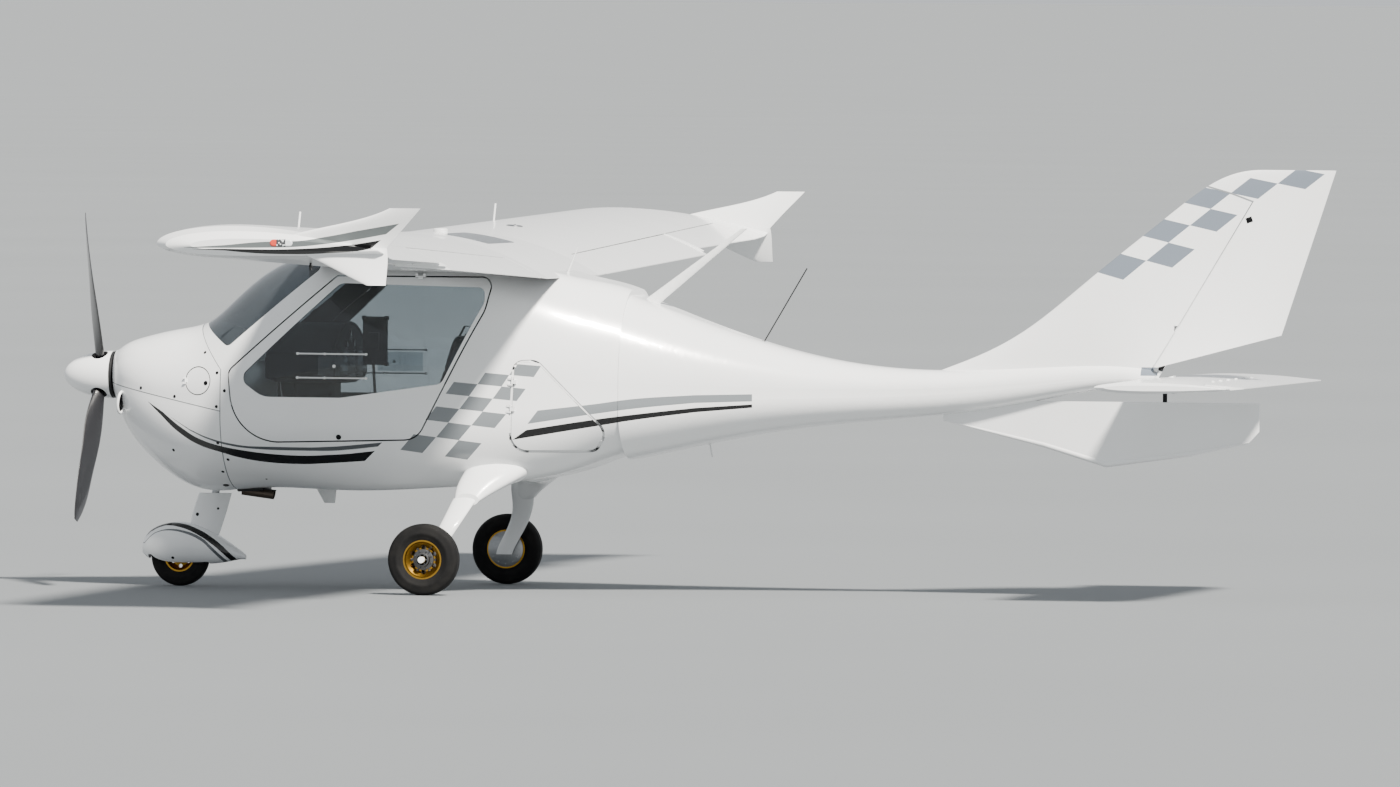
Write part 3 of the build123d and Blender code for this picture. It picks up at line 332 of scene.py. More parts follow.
def tyreRubber():
    # vulcanised rubber with rain grooves every 22 mm and road dust on the shoulders; it is dull,
    # because soot and dust scatter the gloss
    material, add, spot, (x, y, z) = startMaterial("tyreRubber")
    dust = add("TexNoise", {"Vector": spot, "Scale": 22.0, "Detail": 5.0})
    share = add("MapRange", (dust, 0.4, 0.75, 0.0, 0.5))
    across = add("Math", (y, 2 * math.pi / 0.022), operation="MULTIPLY")
    ribs = add("Math", (across,), operation="SINE")
    return finishMaterial(material, add, "0C0C0D", [(share, "201F1D")], (ribs, 0.5, 0.002),
                          Roughness=0.8, IOR=1.52, Specular_IOR_Level=0.22)


grainShade = 0.72                            # how dark the grain's low spots are


def metal(name, code, roughness, grain=0.04, stretch=(1.0, 1.0, 1.0)):
    # bare or anodised metal with a fine grain of about 11 mm, drawn out where it was brushed
    material, add, spot, _ = startMaterial(name)
    turned = add("Mapping", {"Vector": spot, "Scale": stretch})
    speck = add("TexNoise", {"Vector": turned, "Scale": 90.0})
    shade = [v * grainShade for v in hexToLinear(code)[:3]] + [1.0]
    return finishMaterial(material, add, shade, [(speck, code)], (speck, grain, 0.0005),
                          Metallic=1.0, Roughness=roughness)


def lampLens():
    # tinted lens: the front half red or green, the rear half clear over bright diodes
    material, add, spot, (x, y, z) = startMaterial("lampLens")
    front = where(add, (x, ">", 1.035))
    left = where(add, (y, ">", 0.0))
    glow = add("Mix", {0: left, 6: "1C8A4A", 7: "D8402C"}, 2, data_type="RGBA")
    dots = add("TexVoronoi", {"Vector": spot, "Scale": 90.0})
    return finishMaterial(material, add, "3A3C3E", [
        (where(add, (dots, "<", 0.35)), "E8ECEE"), (where(add, (x, "<", 0.992)), "E9EDF0"),
        (front, glow)], Roughness=0.08, IOR=1.49, Coat_Weight=1.0)


def paleFloor():
    # painted studio floor, matt
    material, add, spot, _ = startMaterial("paleFloor")
    cloud = add("TexNoise", {"Vector": spot, "Scale": 0.15})
    return finishMaterial(material, add, "74787B", [(cloud, "7A7E81")], Roughness=0.85)


finishes = {
    "body": gelcoat("gelcoatBody", sideDrawing, lined=True, seams=True),
    "fin": gelcoat("gelcoatFin", finDrawing),
    "tip": gelcoat("gelcoatTip", tipDrawing),
    "pant": gelcoat("gelcoatPant", pantDrawing),
    "plain": gelcoat("gelcoatPlain"),
    "glass": tintedAcrylic(),
    "windshield": smokedAcrylic(),
    "carbon": lacqueredCarbon(),
    "black": satinPlastic("satinBlackPlastic", "0E0F10", "1B1C1E"),
    "panel": satinPlastic("texturedPanel", "17181A", "25272A", 0.7, 180.0),
    "fabric": wovenFabric(),
    "tyre": tyreRubber(),
    "gold": metal("goldAnodisedAluminium", "C79A3C", 0.32),
    "alloy": metal("castAluminium", "8C9093", 0.45, 0.2),
    "steel": metal("brushedSteel", "A8ABAE", 0.3, 0.1, (1.0, 12.0, 1.0)),
    "darkSteel": metal("blackenedSteel", "2A2B2D", 0.45),
    "hotSteel": metal("heatBluedSteel", "6B6158", 0.5, 0.3),
    "lens": lampLens(),
    "screen": satinPlastic("instrumentGlass", "05070A", "0B1016", 0.12, 40.0),
    "white": satinPlastic("whiteNylon", "D9DBDC", "ECEEEE", 0.45, 60.0),
    "greyHub": metal("bronzedHubPlate", "6B6C6E", 0.42, 0.2),
    "brass": metal("brassNut", "8C7746", 0.42),
    "seamPaint": satinPlastic("seamFiller", "5E6366", "6E7376", 0.6, 40.0),
    "webbing": satinPlastic("beltWebbing", "16181C", "24272D", 0.9, 420.0),
    "floor": paleFloor(),
}
print("materials made")

nodeFinish = {
    "body": ("fuselage", "upper_cowl", "lower_cowl", "door_left", "door_right",
             "baggage_hatch_left", "baggage_hatch_right", "oil_lid"),
    "fin": ("tail_cone", "rudder"),
    "tip": ("wing_tip_left", "wing_tip_right"),
    "pant": ("nose_pant",),
    "glass": ("skylight", "door_window_left", "door_window_right"),
    "windshield": ("windshield",),
    "carbon": ("propeller",),
    "black": ("spinner_backplate", "control_sticks", "tie_down_eye_left", "tie_down_eye_right",
              "whip_aerial", "seat_shells"),
    "panel": ("instrument_panel", "centre_console"),
    "tyre": ("main_tyre_left", "main_tyre_right", "nose_tyre"),
    "gold": ("main_rim_left", "main_rim_right", "nose_rim"),
    "steel": ("nose_fork", "nose_strut_bearing", "rudder_pedals"),
    "alloy": ("engine", "brake_left", "brake_right"),
    "lens": ("tip_light_left", "tip_light_right"),
    "white": ("com_aerial", "fuel_vent_left", "fuel_vent_right", "roof_aerial", "belly_aerial"),
}
byNode = {node: finish for finish, group in nodeFinish.items() for node in group}
sharpAngle = math.radians(32)                # above this an edge is shaded as a crease
bevelAngle = 0.6                             # above this, in radians, a new edge is rounded


def shadeSmooth(mesh):
    mesh.polygons.foreach_set("use_smooth", [True] * len(mesh.polygons))
    mesh.set_sharp_from_angle(angle=sharpAngle)


for name, piece in nodes.items():
    piece.data.materials.clear()
    piece.data.materials.append(finishes[byNode.get(name, "plain")])
    shadeSmooth(piece.data)
print("CAD nodes dressed")

quarterTurn = Matrix.Rotation(math.pi / 2, 4, "X")
bothSides = ((1, "left"), (-1, "right"))


def link(name, data):
    piece = bpy.data.objects.new(name, data)
    bpy.context.scene.collection.objects.link(piece)
    return piece


def makePiece(name, shape, finish, slotName, body="airframe"):
    # a new piece from a bmesh, placed in the row frame and riding on a body
    mesh = bpy.data.meshes.new(name)
    bmesh.ops.recalc_face_normals(shape, faces=shape.faces)
    shape.to_mesh(mesh)
    shape.free()
    piece = link(name, mesh)
    mesh.materials.append(finishes[finish])
    shadeSmooth(mesh)
    if body:
        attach(piece, body)
    return piece


def turnTo(direction, spin=0.0):
    # matrix that turns the Z axis to a direction
    turn = Vector(direction).to_track_quat("Z", "Y").to_matrix().to_4x4()
    return turn @ Matrix.Rotation(spin, 4, "Z")


def axesMatrix(*axes):
    return Matrix(axes).transposed().to_4x4()


def roundEdges(shape, verts, size):
    # only the sharp edges, so that the facets of a disc's rim stay as they are
    edges = {e for v in verts for e in v.link_edges if e.calc_face_angle(0) > bevelAngle}
    bmesh.ops.bevel(shape, geom=list(edges), offset=size, affect="EDGES", segments=2,
                    profile=0.5, material=-1)


def addDiscs(shape, place, out, *rows):
    # discs on one axis. Each row: distance out, radius, thickness, sides, rounding, and the share
    # of the radius that is left at the top, where it tapers
    for far, radius, thick, sides, rounding, *taper in rows:
        top = radius * (taper[0] if taper else 1.0)
        spot = Matrix.Translation(Vector(place) + Vector(out) * far) @ turnTo(out)
        made = bmesh.ops.create_cone(shape, cap_ends=True, segments=sides, radius1=radius,
                                     radius2=top, depth=thick, matrix=spot)
        if rounding:
            roundEdges(shape, made["verts"], rounding)


def addBlock(shape, place, size, turn=Matrix.Identity(4), rounding=0.0):
    spot = Matrix.Translation(place) @ turn @ Matrix.Diagonal((*size, 1.0))
    made = bmesh.ops.create_cube(shape, size=1.0, matrix=spot)
    if rounding:
        roundEdges(shape, made["verts"], rounding)


def addTube(shape, points, radius, sides=12, closed=False):
    # a round bar along a smooth line: the curve is Blender's own, then joined into the shape
    curve = bpy.data.curves.new("barLine", "CURVE")
    curve.dimensions = "3D"
    curve.bevel_depth = radius
    curve.bevel_resolution = max(1, sides // 4 - 1)
    curve.use_fill_caps = True
    curve.resolution_u = 6
    line = curve.splines.new("NURBS")
    line.points.add(len(points) - 1)
    for spot, point in zip(line.points, points):
        spot.co = (*point, 1.0)
    line.order_u = min(3, len(points))
    line.use_endpoint_u = not closed
    line.use_cyclic_u = closed
    holder = link("barLine", curve)
    made = bpy.data.meshes.new_from_object(holder)
    bpy.data.objects.remove(holder)
    shape.from_mesh(made)
    bpy.data.meshes.remove(made)
    bpy.data.curves.remove(curve)


def addRing(shape, place, direction, radius, thickness, sides=36, facets=10):
    # a torus by a full spin of a small circle
    spot = Matrix.Translation(place) @ turnTo(direction) @ Matrix.Translation((radius, 0, 0))
    seed = bmesh.ops.create_circle(shape, segments=facets, radius=thickness,
                                   matrix=spot @ quarterTurn)["verts"]
    edges = list({e for v in seed for e in v.link_edges})
    bmesh.ops.spin(shape, geom=seed + edges, cent=Vector(place), axis=Vector(direction),
                   steps=sides, angle=2 * math.pi, use_merge=True)


beyondWings = 5.0


def skinAt(nodeName, x, z, side=1):
    # point and outward direction on a node's side, by a ray from outside the wing tips
    ray = Vector((x, side * beyondWings, z)), Vector((0, -side, 0))
    hit, place, normal, _ = nodes[nodeName].ray_cast(*ray)
    if not hit:
        raise SystemExit(f"no skin of {nodeName} at {x}, {z}")
    return place, normal


def surfaceAt(nodeName, point, side=1):
    # nearest point of a node's surface, and its outward direction; the far side is mirrored
    near = Vector((point[0], side * point[1], point[2]))
    found, place, normal, _ = nodes[nodeName].closest_point_on_mesh(near)
    if not found:
        raise SystemExit(f"no surface of {nodeName} near {point}")
    return place, normal


def fitOn(shape, place, normal, fitting):
    # a fitting on a surface. ring: lift, radius, thickness, sides, facets; discs: rows as above;
    # bar: lift, size, turn, rounding
    if "ring" in fitting:
        lift, *ring = fitting["ring"]
        addRing(shape, place + normal * lift, normal, *ring)
    addDiscs(shape, place, normal, *fitting.get("discs", ()))
    if "bar" in fitting:
        lift, size, turn, rounding = fitting["bar"]
        addBlock(shape, place + normal * lift, size, turnTo(normal, turn), rounding)


# Quarter-turn fasteners: a dished washer with a slotted head, on the cowls and the cabin shell
cowlFastener = {
    "washer": 0.0080, "head": 0.0055, "oilLatch": ("oil_lid", 2.281, 0.985), "oilScale": 1.4,
    "places": (("upper_cowl", 2.64, 0.955), ("upper_cowl", 2.45, 0.918),
               ("upper_cowl", 2.222, 0.874), ("upper_cowl", 2.222, 1.035),
               ("upper_cowl", 2.30, 1.13), ("lower_cowl", 2.222, 0.70),
               ("lower_cowl", 2.222, 0.56), ("lower_cowl", 2.47, 0.66),
               ("fuselage", 2.18, 0.62), ("fuselage", 2.18, 0.95)),
}
# Slotted screws, on both sides: node, x, y, z and radius
screwPlaces = {
    "nose_gear_screws": ("nose_gear", (
        ("nose_leg_fairing", 2.437, 0.03, 0.345, 0.0085),
        ("nose_leg_fairing", 2.330, 0.03, 0.372, 0.006),
        ("nose_pant", 2.542, 0.08, 0.131, 0.0075), ("nose_pant", 2.330, 0.06, 0.150, 0.005))),
    "skin_screws": ("airframe", (
        ("fuselage", 0.806, 0.45, 1.508, 0.009), ("fuselage", 2.01, 0.36, 0.535, 0.005),
        ("tail_cone", 0.22, 0.3, 1.13, 0.005), ("fuselage", 1.84, 0.02, 0.47, 0.004),
        ("fuselage", 1.80, 0.02, 0.47, 0.004))),
}


def fastener(scale=1.0):
    washer, head = cowlFastener["washer"] * scale, cowlFastener["head"] * scale
    return {"discs": ((0.0, washer, 0.0016, 20, 0.0004), (0.0009, head, 0.0016, 18, 0.0004)),
            "bar": (0.0018, (0.0018, head * 1.5, 0.0006), 0.6, 0.0)}


def screw(radius):
    return {"discs": ((0.0006, radius, 0.0018, 14, 0.0004),),
            "bar": (0.0016, (radius * 0.3, radius * 1.5, 0.0004), 0.5, 0.0)}


for side, sideName in bothSides:
    shape = bmesh.new()
    for spot in cowlFastener["places"]:
        fitOn(shape, *skinAt(*spot, side), fastener())
    makePiece(f"cowl_fasteners_{sideName}", shape, "darkSteel", "steel")
print("fasteners set")

shape = bmesh.new()
fitOn(shape, *skinAt(*cowlFastener["oilLatch"]), fastener(cowlFastener["oilScale"]))
makePiece("oil_lid_latch", shape, "darkSteel", "steel", "oil_lid")

# Door latch, sliding vent pane with its rails and knob
doorFittings = {
    "latchAt": (1.60, 0.738),
    "latch": {"discs": ((0.001, 0.0125, 0.004, 28, 0.0012), (0.003, 0.007, 0.003, 20, 0.0008)),
              "bar": (0.0048, (0.002, 0.010, 0.0016), 0.9, 0.0004)},
    "railZ": (1.133, 1.019), "railX": (1.464, 1.804), "railLift": 0.005, "railRadius": 0.0038,
    "railFoot": (-0.002, 0.0065, 0.009, 18, 0.001), "railPoints": 6,
    "paneX": (1.478, 1.700), "paneZ": (1.030, 1.122), "paneLift": 0.0025, "paneThick": 0.002,
    "knobAt": (1.62, 1.075), "knob": {"discs": ((0.007, 0.008, 0.006, 20, 0.0015),)},
}
rule = doorFittings
for side, sideName in bothSides:
    door = f"door_{sideName}"
    pane = f"door_window_{sideName}"
    shape = bmesh.new()
    fitOn(shape, *skinAt(door, *rule["latchAt"], side), rule["latch"])
    makePiece(f"door_latch_{sideName}", shape, "darkSteel", "steel", door)
    shape = bmesh.new()
    start, end = rule["railX"]
    for z in rule["railZ"]:
        line = []
        for k in range(rule["railPoints"]):
            x = start + (end - start) * k / (rule["railPoints"] - 1)
            place, normal = skinAt(pane, x, z, side)
            line.append(place + normal * rule["railLift"])
        addTube(shape, line, rule["railRadius"])
        for spot in (line[0], line[len(line) // 2], line[-1]):
            addDiscs(shape, spot, (0, side, 0), rule["railFoot"])
    makePiece(f"vent_rails_{sideName}", shape, "white", "window_glass", door)
    shape = bmesh.new()
    x0, x1 = rule["paneX"]
    z0, z1 = rule["paneZ"]
    bmesh.ops.create_grid(shape, x_segments=8, y_segments=4, size=0.5,
                          matrix=Matrix.Translation(((x0 + x1) / 2, 0, (z0 + z1) / 2))
                          @ quarterTurn @ Matrix.Diagonal((x1 - x0, z1 - z0, 1, 1)))
    for vert in shape.verts:
        place, normal = skinAt(pane, vert.co.x, vert.co.z, side)
        vert.co = place + normal * rule["paneLift"]
    bmesh.ops.solidify(shape, geom=shape.faces[:], thickness=rule["paneThick"])
    makePiece(f"vent_pane_{sideName}", shape, "glass", "window_glass", door)
    shape = bmesh.new()
    fitOn(shape, *skinAt(pane, *rule["knobAt"], side), rule["knob"])
    makePiece(f"vent_knob_{sideName}", shape, "white", "window_glass", door)
print("door fittings set")

# Fuel caps on the wings and round covers under them
wingFittings = {
    "capAt": (1.18, 1.35, 1.9),
    "cap": {"ring": (0.0005, 0.038, 0.003), "discs": ((0.002, 0.034, 0.006, 36, 0.002),),
            "bar": (0.0065, (0.050, 0.007, 0.004), 0.4, 0.001)},
    "coversAt": ((1.12, 1.15, 1.2), (1.05, 2.35, 1.2), (1.0, 3.3, 1.2)),
    "cover": {"discs": ((0.0006, 0.062, 0.0016, 48, 0.0004),)},
    "coverScrews": 6, "screwCircle": 0.052, "screwDisc": (0.0018, 0.0045, 0.0014, 12, 0.0003),
}
rule = wingFittings
for side, sideName in bothSides:
    wing = f"wing_{sideName}"
    shape = bmesh.new()
    fitOn(shape, *surfaceAt(wing, rule["capAt"], side), rule["cap"])
    makePiece(f"fuel_cap_{sideName}", shape, "steel", "steel")
    shape = bmesh.new()
    for point in rule["coversAt"]:
        place, normal = surfaceAt(wing, point, side)
        fitOn(shape, place, normal, rule["cover"])
        for k in range(rule["coverScrews"]):
            turn = turnTo(normal, 2 * math.pi * k / rule["coverScrews"]).to_3x3()
            spot = place + turn @ Vector((rule["screwCircle"], 0, 0))
            addDiscs(shape, spot, normal, rule["screwDisc"])
    makePiece(f"wing_covers_{sideName}", shape, "plain", "white_gelcoat")

for name, (body, spots) in screwPlaces.items():
    shape = bmesh.new()
    for side, sideName in bothSides:
        for nodeName, *point, radius in spots:
            fitOn(shape, *surfaceAt(nodeName, point, side), screw(radius))
    makePiece(name, shape, "darkSteel", "steel", body)
print("screws and covers set")

# Soft white rubber lip in the gap round each hatch: as wide as the gap is, less a little air
hatchSeal = {"middle": (0.58, 0.0, 0.90), "points": 150, "air": 0.0010, "below": 0.0030,
             "thick": 0.0015}
# Black rubber bead deep in the gap round each door, open along the hinges
doorSeal = {"middle": (1.45, 0.0, 1.12), "points": 150, "radius": 0.0032, "below": 0.0150,
            "top": 1.485, "gapMiddle": 0.0035}
# How an edge is found: rays from outside the cabin, steps out, and what lies too deep to be skin
edgeSearch = {"outside": 0.9, "start": 0.05, "step": 0.01, "halvings": 12, "pocket": 0.155}


def skinSpot(node, middle, side, angle, reach):
    # the skin at a distance from an opening's middle, or nothing where the ray meets what is behind
    start = Vector((middle[0] + reach * math.cos(angle), side * edgeSearch["outside"],
                    middle[2] + reach * math.sin(angle)))
    hit, place, normal, _ = node.ray_cast(start, Vector((0, -side, 0)))
    return place.copy() if hit and place.y * side > edgeSearch["pocket"] else None


def edgeLine(node, rule, side):
    # step out until a panel's skin ends or the body's begins, then halve the last step
    line = []
    step = edgeSearch["step"]
    for k in range(rule["points"]):
        way = (node, rule["middle"], side, 2 * math.pi * k / rule["points"])
        near = edgeSearch["start"]
        off = near + step
        inPanel = skinSpot(*way, near) is not None
        while (skinSpot(*way, off) is not None) == inPanel:
            near, off = off, off + step
        for _ in range(edgeSearch["halvings"]):
            reach = (near + off) / 2
            if (skinSpot(*way, reach) is not None) == inPanel:
                near = reach
            else:
                off = reach
        line.append(skinSpot(*way, near if inPanel else off))
    return line


for side, sideName in bothSides:
    shape = bmesh.new()
    outer = edgeLine(nodes["fuselage"], hatchSeal, side)
    inner = edgeLine(nodes[f"baggage_hatch_{sideName}"], hatchSeal, side)
    sunk = Vector((0, side * hatchSeal["below"], 0))
    rims = ([], [])
    for edge in outer:
        feet = []
        for k in range(len(inner)):
            foot, share = intersect_point_line(edge, inner[k - 1], inner[k])
            feet.append(inner[k - 1].lerp(inner[k], min(max(share, 0), 1)))
        across = min(feet, key=lambda foot: (edge - foot).length) - edge
        rims[0].append(shape.verts.new(edge - sunk))
        rims[1].append(shape.verts.new(edge + across - across.normalized() * hatchSeal["air"]
                                       - sunk))
    edges = [shape.edges.new((rim[k - 1], rim[k])) for rim in rims for k in range(len(rim))]
    bmesh.ops.bridge_loops(shape, edges=edges)
    bmesh.ops.recalc_face_normals(shape, faces=shape.faces)
    if sum(face.normal.y for face in shape.faces) * side < 0:
        bmesh.ops.reverse_faces(shape, faces=shape.faces)
    bmesh.ops.solidify(shape, geom=shape.faces[:], thickness=hatchSeal["thick"])
    makePiece(f"hatch_seal_{sideName}", shape, "white", "white_gelcoat")
    shape = bmesh.new()
    rim = edgeLine(nodes["fuselage"], doorSeal, side)
    top = doorSeal["top"]
    first = next(k for k in range(len(rim)) if rim[k - 1].z > top >= rim[k].z)
    rim = rim[first:] + rim[:first]
    sunk = Vector((0, side * doorSeal["below"], 0))
    line = []
    for k, edge in enumerate(rim):
        along = rim[(k + 1) % len(rim)] - rim[k - 1]
        inward = Vector((-along.z, 0, along.x)).normalized() * doorSeal["gapMiddle"]
        if edge.z <= top:
            line.append(edge + inward - sunk)
    addTube(shape, line, doorSeal["radius"], 10)
    makePiece(f"door_seal_{sideName}", shape, "black", "dark_plastic")

# Half-round access panel behind each door top: only its joint line shows
accessLine = {"middle": (0.865, 0.6, 1.540), "half": (0.085, 0.058), "line": 0.0011, "steps": 12}
for side, sideName in bothSides:
    shape = bmesh.new()
    line = []
    for k in range(accessLine["steps"] + 1):
        angle = math.pi + math.pi * k / accessLine["steps"]
        step = Vector((accessLine["half"][0] * math.cos(angle), 0,
                       accessLine["half"][1] * math.sin(angle)))
        point = Vector(accessLine["middle"]) + step
        line.append(surfaceAt("fuselage", point, side)[0])
    addTube(shape, line, accessLine["line"], 8)
    makePiece(f"access_panel_joint_{sideName}", shape, "seamPaint", "white_gelcoat")

# Nose openings: lipped intakes beside the spinner, drains in the cowl, pipes under the belly
noseFittings = {
    "intake": (2.750, 0.223, 0.884), "intakeHalf": (0.030, 0.050), "intakeLean": 0.35,
    "lipOut": 0.004, "lipSunk": 0.012, "lipRound": 0.15, "lipDeep": 0.045,
    "mouthShare": 0.92, "mouthDeep": 0.02,
    "drainAt": (2.235, 0.26, 0.493),
    "drain": {"ring": (0.0, 0.013, 0.0022, 28, 8), "discs": ((0.0004, 0.012, 0.0012, 28, 0.0),)},
    "belly": (2.14, 0.0, 0.40), "outlet": (0.012, 0, -0.004), "outletSize": (0.125, 0.20, 0.022),
    "outletTilt": 0.05, "outletRounding": 0.007,
    "exhaust": (0.06, 0.035, -0.012), "exhaustWay": (-1, 0, -0.22), "exhaustRadius": 0.021,
    "exhaustLength": (-0.155, 0, -0.020), "exhaustWall": 0.0018,
    "breather": ((-0.03, 0.09, 0.004), (-0.07, 0.095, -0.004), (-0.12, 0.10, -0.010)),
    "breatherRadius": 0.0035,
}
rule = noseFittings
halfWide, halfHigh = rule["intakeHalf"]
mouth = rule["mouthShare"]
for side, sideName in bothSides:
    place, normal = surfaceAt("lower_cowl", rule["intake"], side)
    facing = (normal * rule["intakeLean"] + Vector((1.0, 0, 0))).normalized()
    place = place + facing * rule["lipOut"] - normal * rule["lipSunk"]
    turn = Matrix.Translation(place) @ turnTo(facing)
    shape = bmesh.new()
    addRing(shape, (0, 0, 0), (0, 0, 1), 1.0, rule["lipRound"], 48, 14)
    bmesh.ops.transform(shape, verts=shape.verts,
                        matrix=turn @ Matrix.Diagonal((halfWide, halfHigh, rule["lipDeep"], 1)))
    makePiece(f"intake_lip_{sideName}", shape, "plain", "white_gelcoat")
    shape = bmesh.new()
    addDiscs(shape, (0, 0, 0), (0, 0, 1), (0.0, 1.0, 0.10, 40, 0.0))
    bmesh.ops.transform(shape, verts=shape.verts, matrix=turn @ Matrix.Diagonal(
        (halfWide * mouth, halfHigh * mouth, rule["mouthDeep"], 1)))
    makePiece(f"intake_mouth_{sideName}", shape, "darkSteel", "dark_plastic")
shape = bmesh.new()
for side, sideName in bothSides:
    fitOn(shape, *surfaceAt("lower_cowl", rule["drainAt"], side), rule["drain"])
makePiece("cowl_drains", shape, "darkSteel", "dark_plastic")

belly = surfaceAt("fuselage", rule["belly"])[0]
shape = bmesh.new()
addBlock(shape, belly + Vector(rule["outlet"]), rule["outletSize"],
         Matrix.Rotation(rule["outletTilt"], 4, "Y"), rule["outletRounding"])
makePiece("cowl_outlet_lip", shape, "black", "dark_plastic")
shape = bmesh.new()
pipe = Matrix.Translation(belly + Vector(rule["exhaust"])) @ turnTo(rule["exhaustWay"])
seed = bmesh.ops.create_circle(shape, segments=32, radius=rule["exhaustRadius"], matrix=pipe)
ring = list({e for v in seed["verts"] for e in v.link_edges})
made = bmesh.ops.extrude_edge_only(shape, edges=ring)["geom"]
bmesh.ops.translate(shape, verts=[g for g in made if isinstance(g, bmesh.types.BMVert)],
                    vec=rule["exhaustLength"])
bmesh.ops.recalc_face_normals(shape, faces=shape.faces)
bmesh.ops.solidify(shape, geom=shape.faces[:], thickness=rule["exhaustWall"])
makePiece("exhaust_pipe", shape, "hotSteel", "steel")
shape = bmesh.new()
addTube(shape, [belly + Vector(step) for step in rule["breather"]], rule["breatherRadius"], 10)
makePiece("breather_pipe", shape, "black", "dark_plastic")
print("nose fittings set")

# Spine post behind the wing, probe under the tail cone, fittings of the rudder and stabilator
tailFittings = {
    "postFoot": (0.622, 0.0, 1.525), "postTop": (0.577, 0.0, 1.642), "postRadii": (0.014, 0.006),
    "postFlat": 0.45, "baseAt": (0.622, 0.0, 1.50),
    "postBase": {"discs": ((0.001, 0.022, 0.003, 28, 0.001),)},
    "probeAt": (-0.10, 0.0, 0.60), "probeRadius": 0.004,
    "probeLine": ((0, 0, 0.004), (-0.004, 0, -0.03), (-0.012, 0, -0.062)),
    "probeBase": {"discs": ((0.001, 0.011, 0.003, 20, 0.0008),)},
    "hingeAt": (-2.688, 0.05, 1.806),
    "hinge": {"discs": ((0.0014, 0.0045, 0.003, 14, 0.0006),),
              "bar": (0.0003, (0.030, 0.026, 0.0016), 0.35, 0.0006)},
    "bracket": ((-2.270, 0, 1.106), (0.022, 0.034, 0.046), Matrix.Rotation(-0.5, 4, "Y"), 0.004),
    "stop": ((-2.283, 0, 0.962), (0.020, 0.016, 0.056), Matrix.Identity(4), 0.003),
    "stopPin": ((-2.283, 0, 0.975), (0, 1, 0), (0.0, 0.007, 0.026, 18, 0.001)),
    "tabCoversAt": ((-2.62, 0.10, 1.2), (-2.62, 0.30, 1.2), (-2.62, 0.50, 1.2)),
    "tabCover": {"bar": (0.002, (0.045, 0.010, 0.005), 0.0, 0.0015)},
}
rule = tailFittings
shape = bmesh.new()
foot = Vector(rule["postFoot"])
top = Vector(rule["postTop"])
bmesh.ops.create_cone(shape, cap_ends=True, segments=20, radius1=rule["postRadii"][0],
                      radius2=rule["postRadii"][1], depth=(top - foot).length,
                      matrix=Matrix.Translation((foot + top) / 2) @ turnTo(top - foot)
                      @ Matrix.Diagonal((1, rule["postFlat"], 1, 1)))
fitOn(shape, *surfaceAt("fuselage", rule["baseAt"]), rule["postBase"])
makePiece("spine_post", shape, "white", "white_gelcoat")
shape = bmesh.new()
place, normal = surfaceAt("tail_cone", rule["probeAt"])
addTube(shape, [place + Vector(step) for step in rule["probeLine"]], rule["probeRadius"])
fitOn(shape, place, normal, rule["probeBase"])
makePiece("belly_probe", shape, "white", "steel")
shape = bmesh.new()
for side, sideName in bothSides:
    fitOn(shape, *surfaceAt("rudder", rule["hingeAt"], side), rule["hinge"])
makePiece("rudder_hinge_fittings", shape, "darkSteel", "steel", "rudder")
shape = bmesh.new()
addBlock(shape, *rule["bracket"])
makePiece("rudder_foot_bracket", shape, "darkSteel", "steel", "rudder")
shape = bmesh.new()
addBlock(shape, *rule["stop"])
addDiscs(shape, *rule["stopPin"])
makePiece("stabilator_stop", shape, "darkSteel", "steel")
shape = bmesh.new()
for point in rule["tabCoversAt"]:
    for side, sideName in bothSides:
        fitOn(shape, *surfaceAt("stabilator", point, side), rule["tabCover"])
makePiece("tab_hinge_covers", shape, "plain", "white_gelcoat", "stabilator")
print("tail fittings set")

# Wheels. A disc's distance out is its y; "on" is the body that carries the piece; a bolt circle
# is its radius, how many, the first one's angle, and then the discs of each bolt
wheelAxle = Vector((1.114, 0, 0.170))
wheelParts = {
    "hub_plate": {
        "look": ("greyHub", "engine_alloy"), "on": "main_wheel_{}",
        "discs": ((0.902, 0.050, 0.010, 48, 0.002), (0.91685, 0.034, 0.0277, 40, 0.002, 0.94),
                  (0.9287, 0.027, 0.004, 40, 0.0012)),
        "bolts": ((0.042, 8, math.pi / 8, (0.909, 0.0042, 0.006, 6, 0.0006)),
                  (0.0215, 6, 0.0, (0.9312, 0.0034, 0.004, 6, 0.0005)),
                  (0.0577, 6, 0.0, (0.8995, 0.0065, 0.001, 20, 0.0),
                   (0.902, 0.0048, 0.005, 6, 0.0006)))},
    "axle_nut": {
        "look": ("brass", "steel"), "on": "airframe",
        "discs": ((0.9322, 0.0165, 0.003, 32, 0.0006), (0.9392, 0.0135, 0.011, 6, 0.0012),
                  (0.9482, 0.0085, 0.008, 24, 0.002))},
    "valve": {
        "look": ("black", "dark_plastic"), "on": "main_wheel_{}",
        "stem": (0.900, 0.910, 0.922), "stemRadius": 0.0032,
        "bolts": ((0.072, 1, 2.2, (0.924, 0.0042, 0.007, 14, 0.001)),)},
    "brake_disc": {
        "look": ("steel", "steel"), "on": "main_wheel_{}",
        "discs": ((0.852, 0.086, 0.004, 64, 0.0006), (0.8562, 0.034, 0.0045, 40, 0.0006)),
        "bolts": ((0.070, 12, 0.0, (0.8501, 0.004, 0.0008, 12, 0.0)),)},
}
caliper = {"bolts": ((1.081, 0.806, 0.239), (1.081, 0.806, 0.219)),
           "boltDisc": (0.0, 0.0055, 0.007, 6, 0.0006), "hoseRadius": 0.003,
           "hose": ((1.070, 0.812, 0.243), (1.058, 0.806, 0.262), (1.045, 0.79, 0.285))}


def roundAxle(radius, angle):
    return wheelAxle + Vector((math.cos(angle), 0, math.sin(angle))) * radius


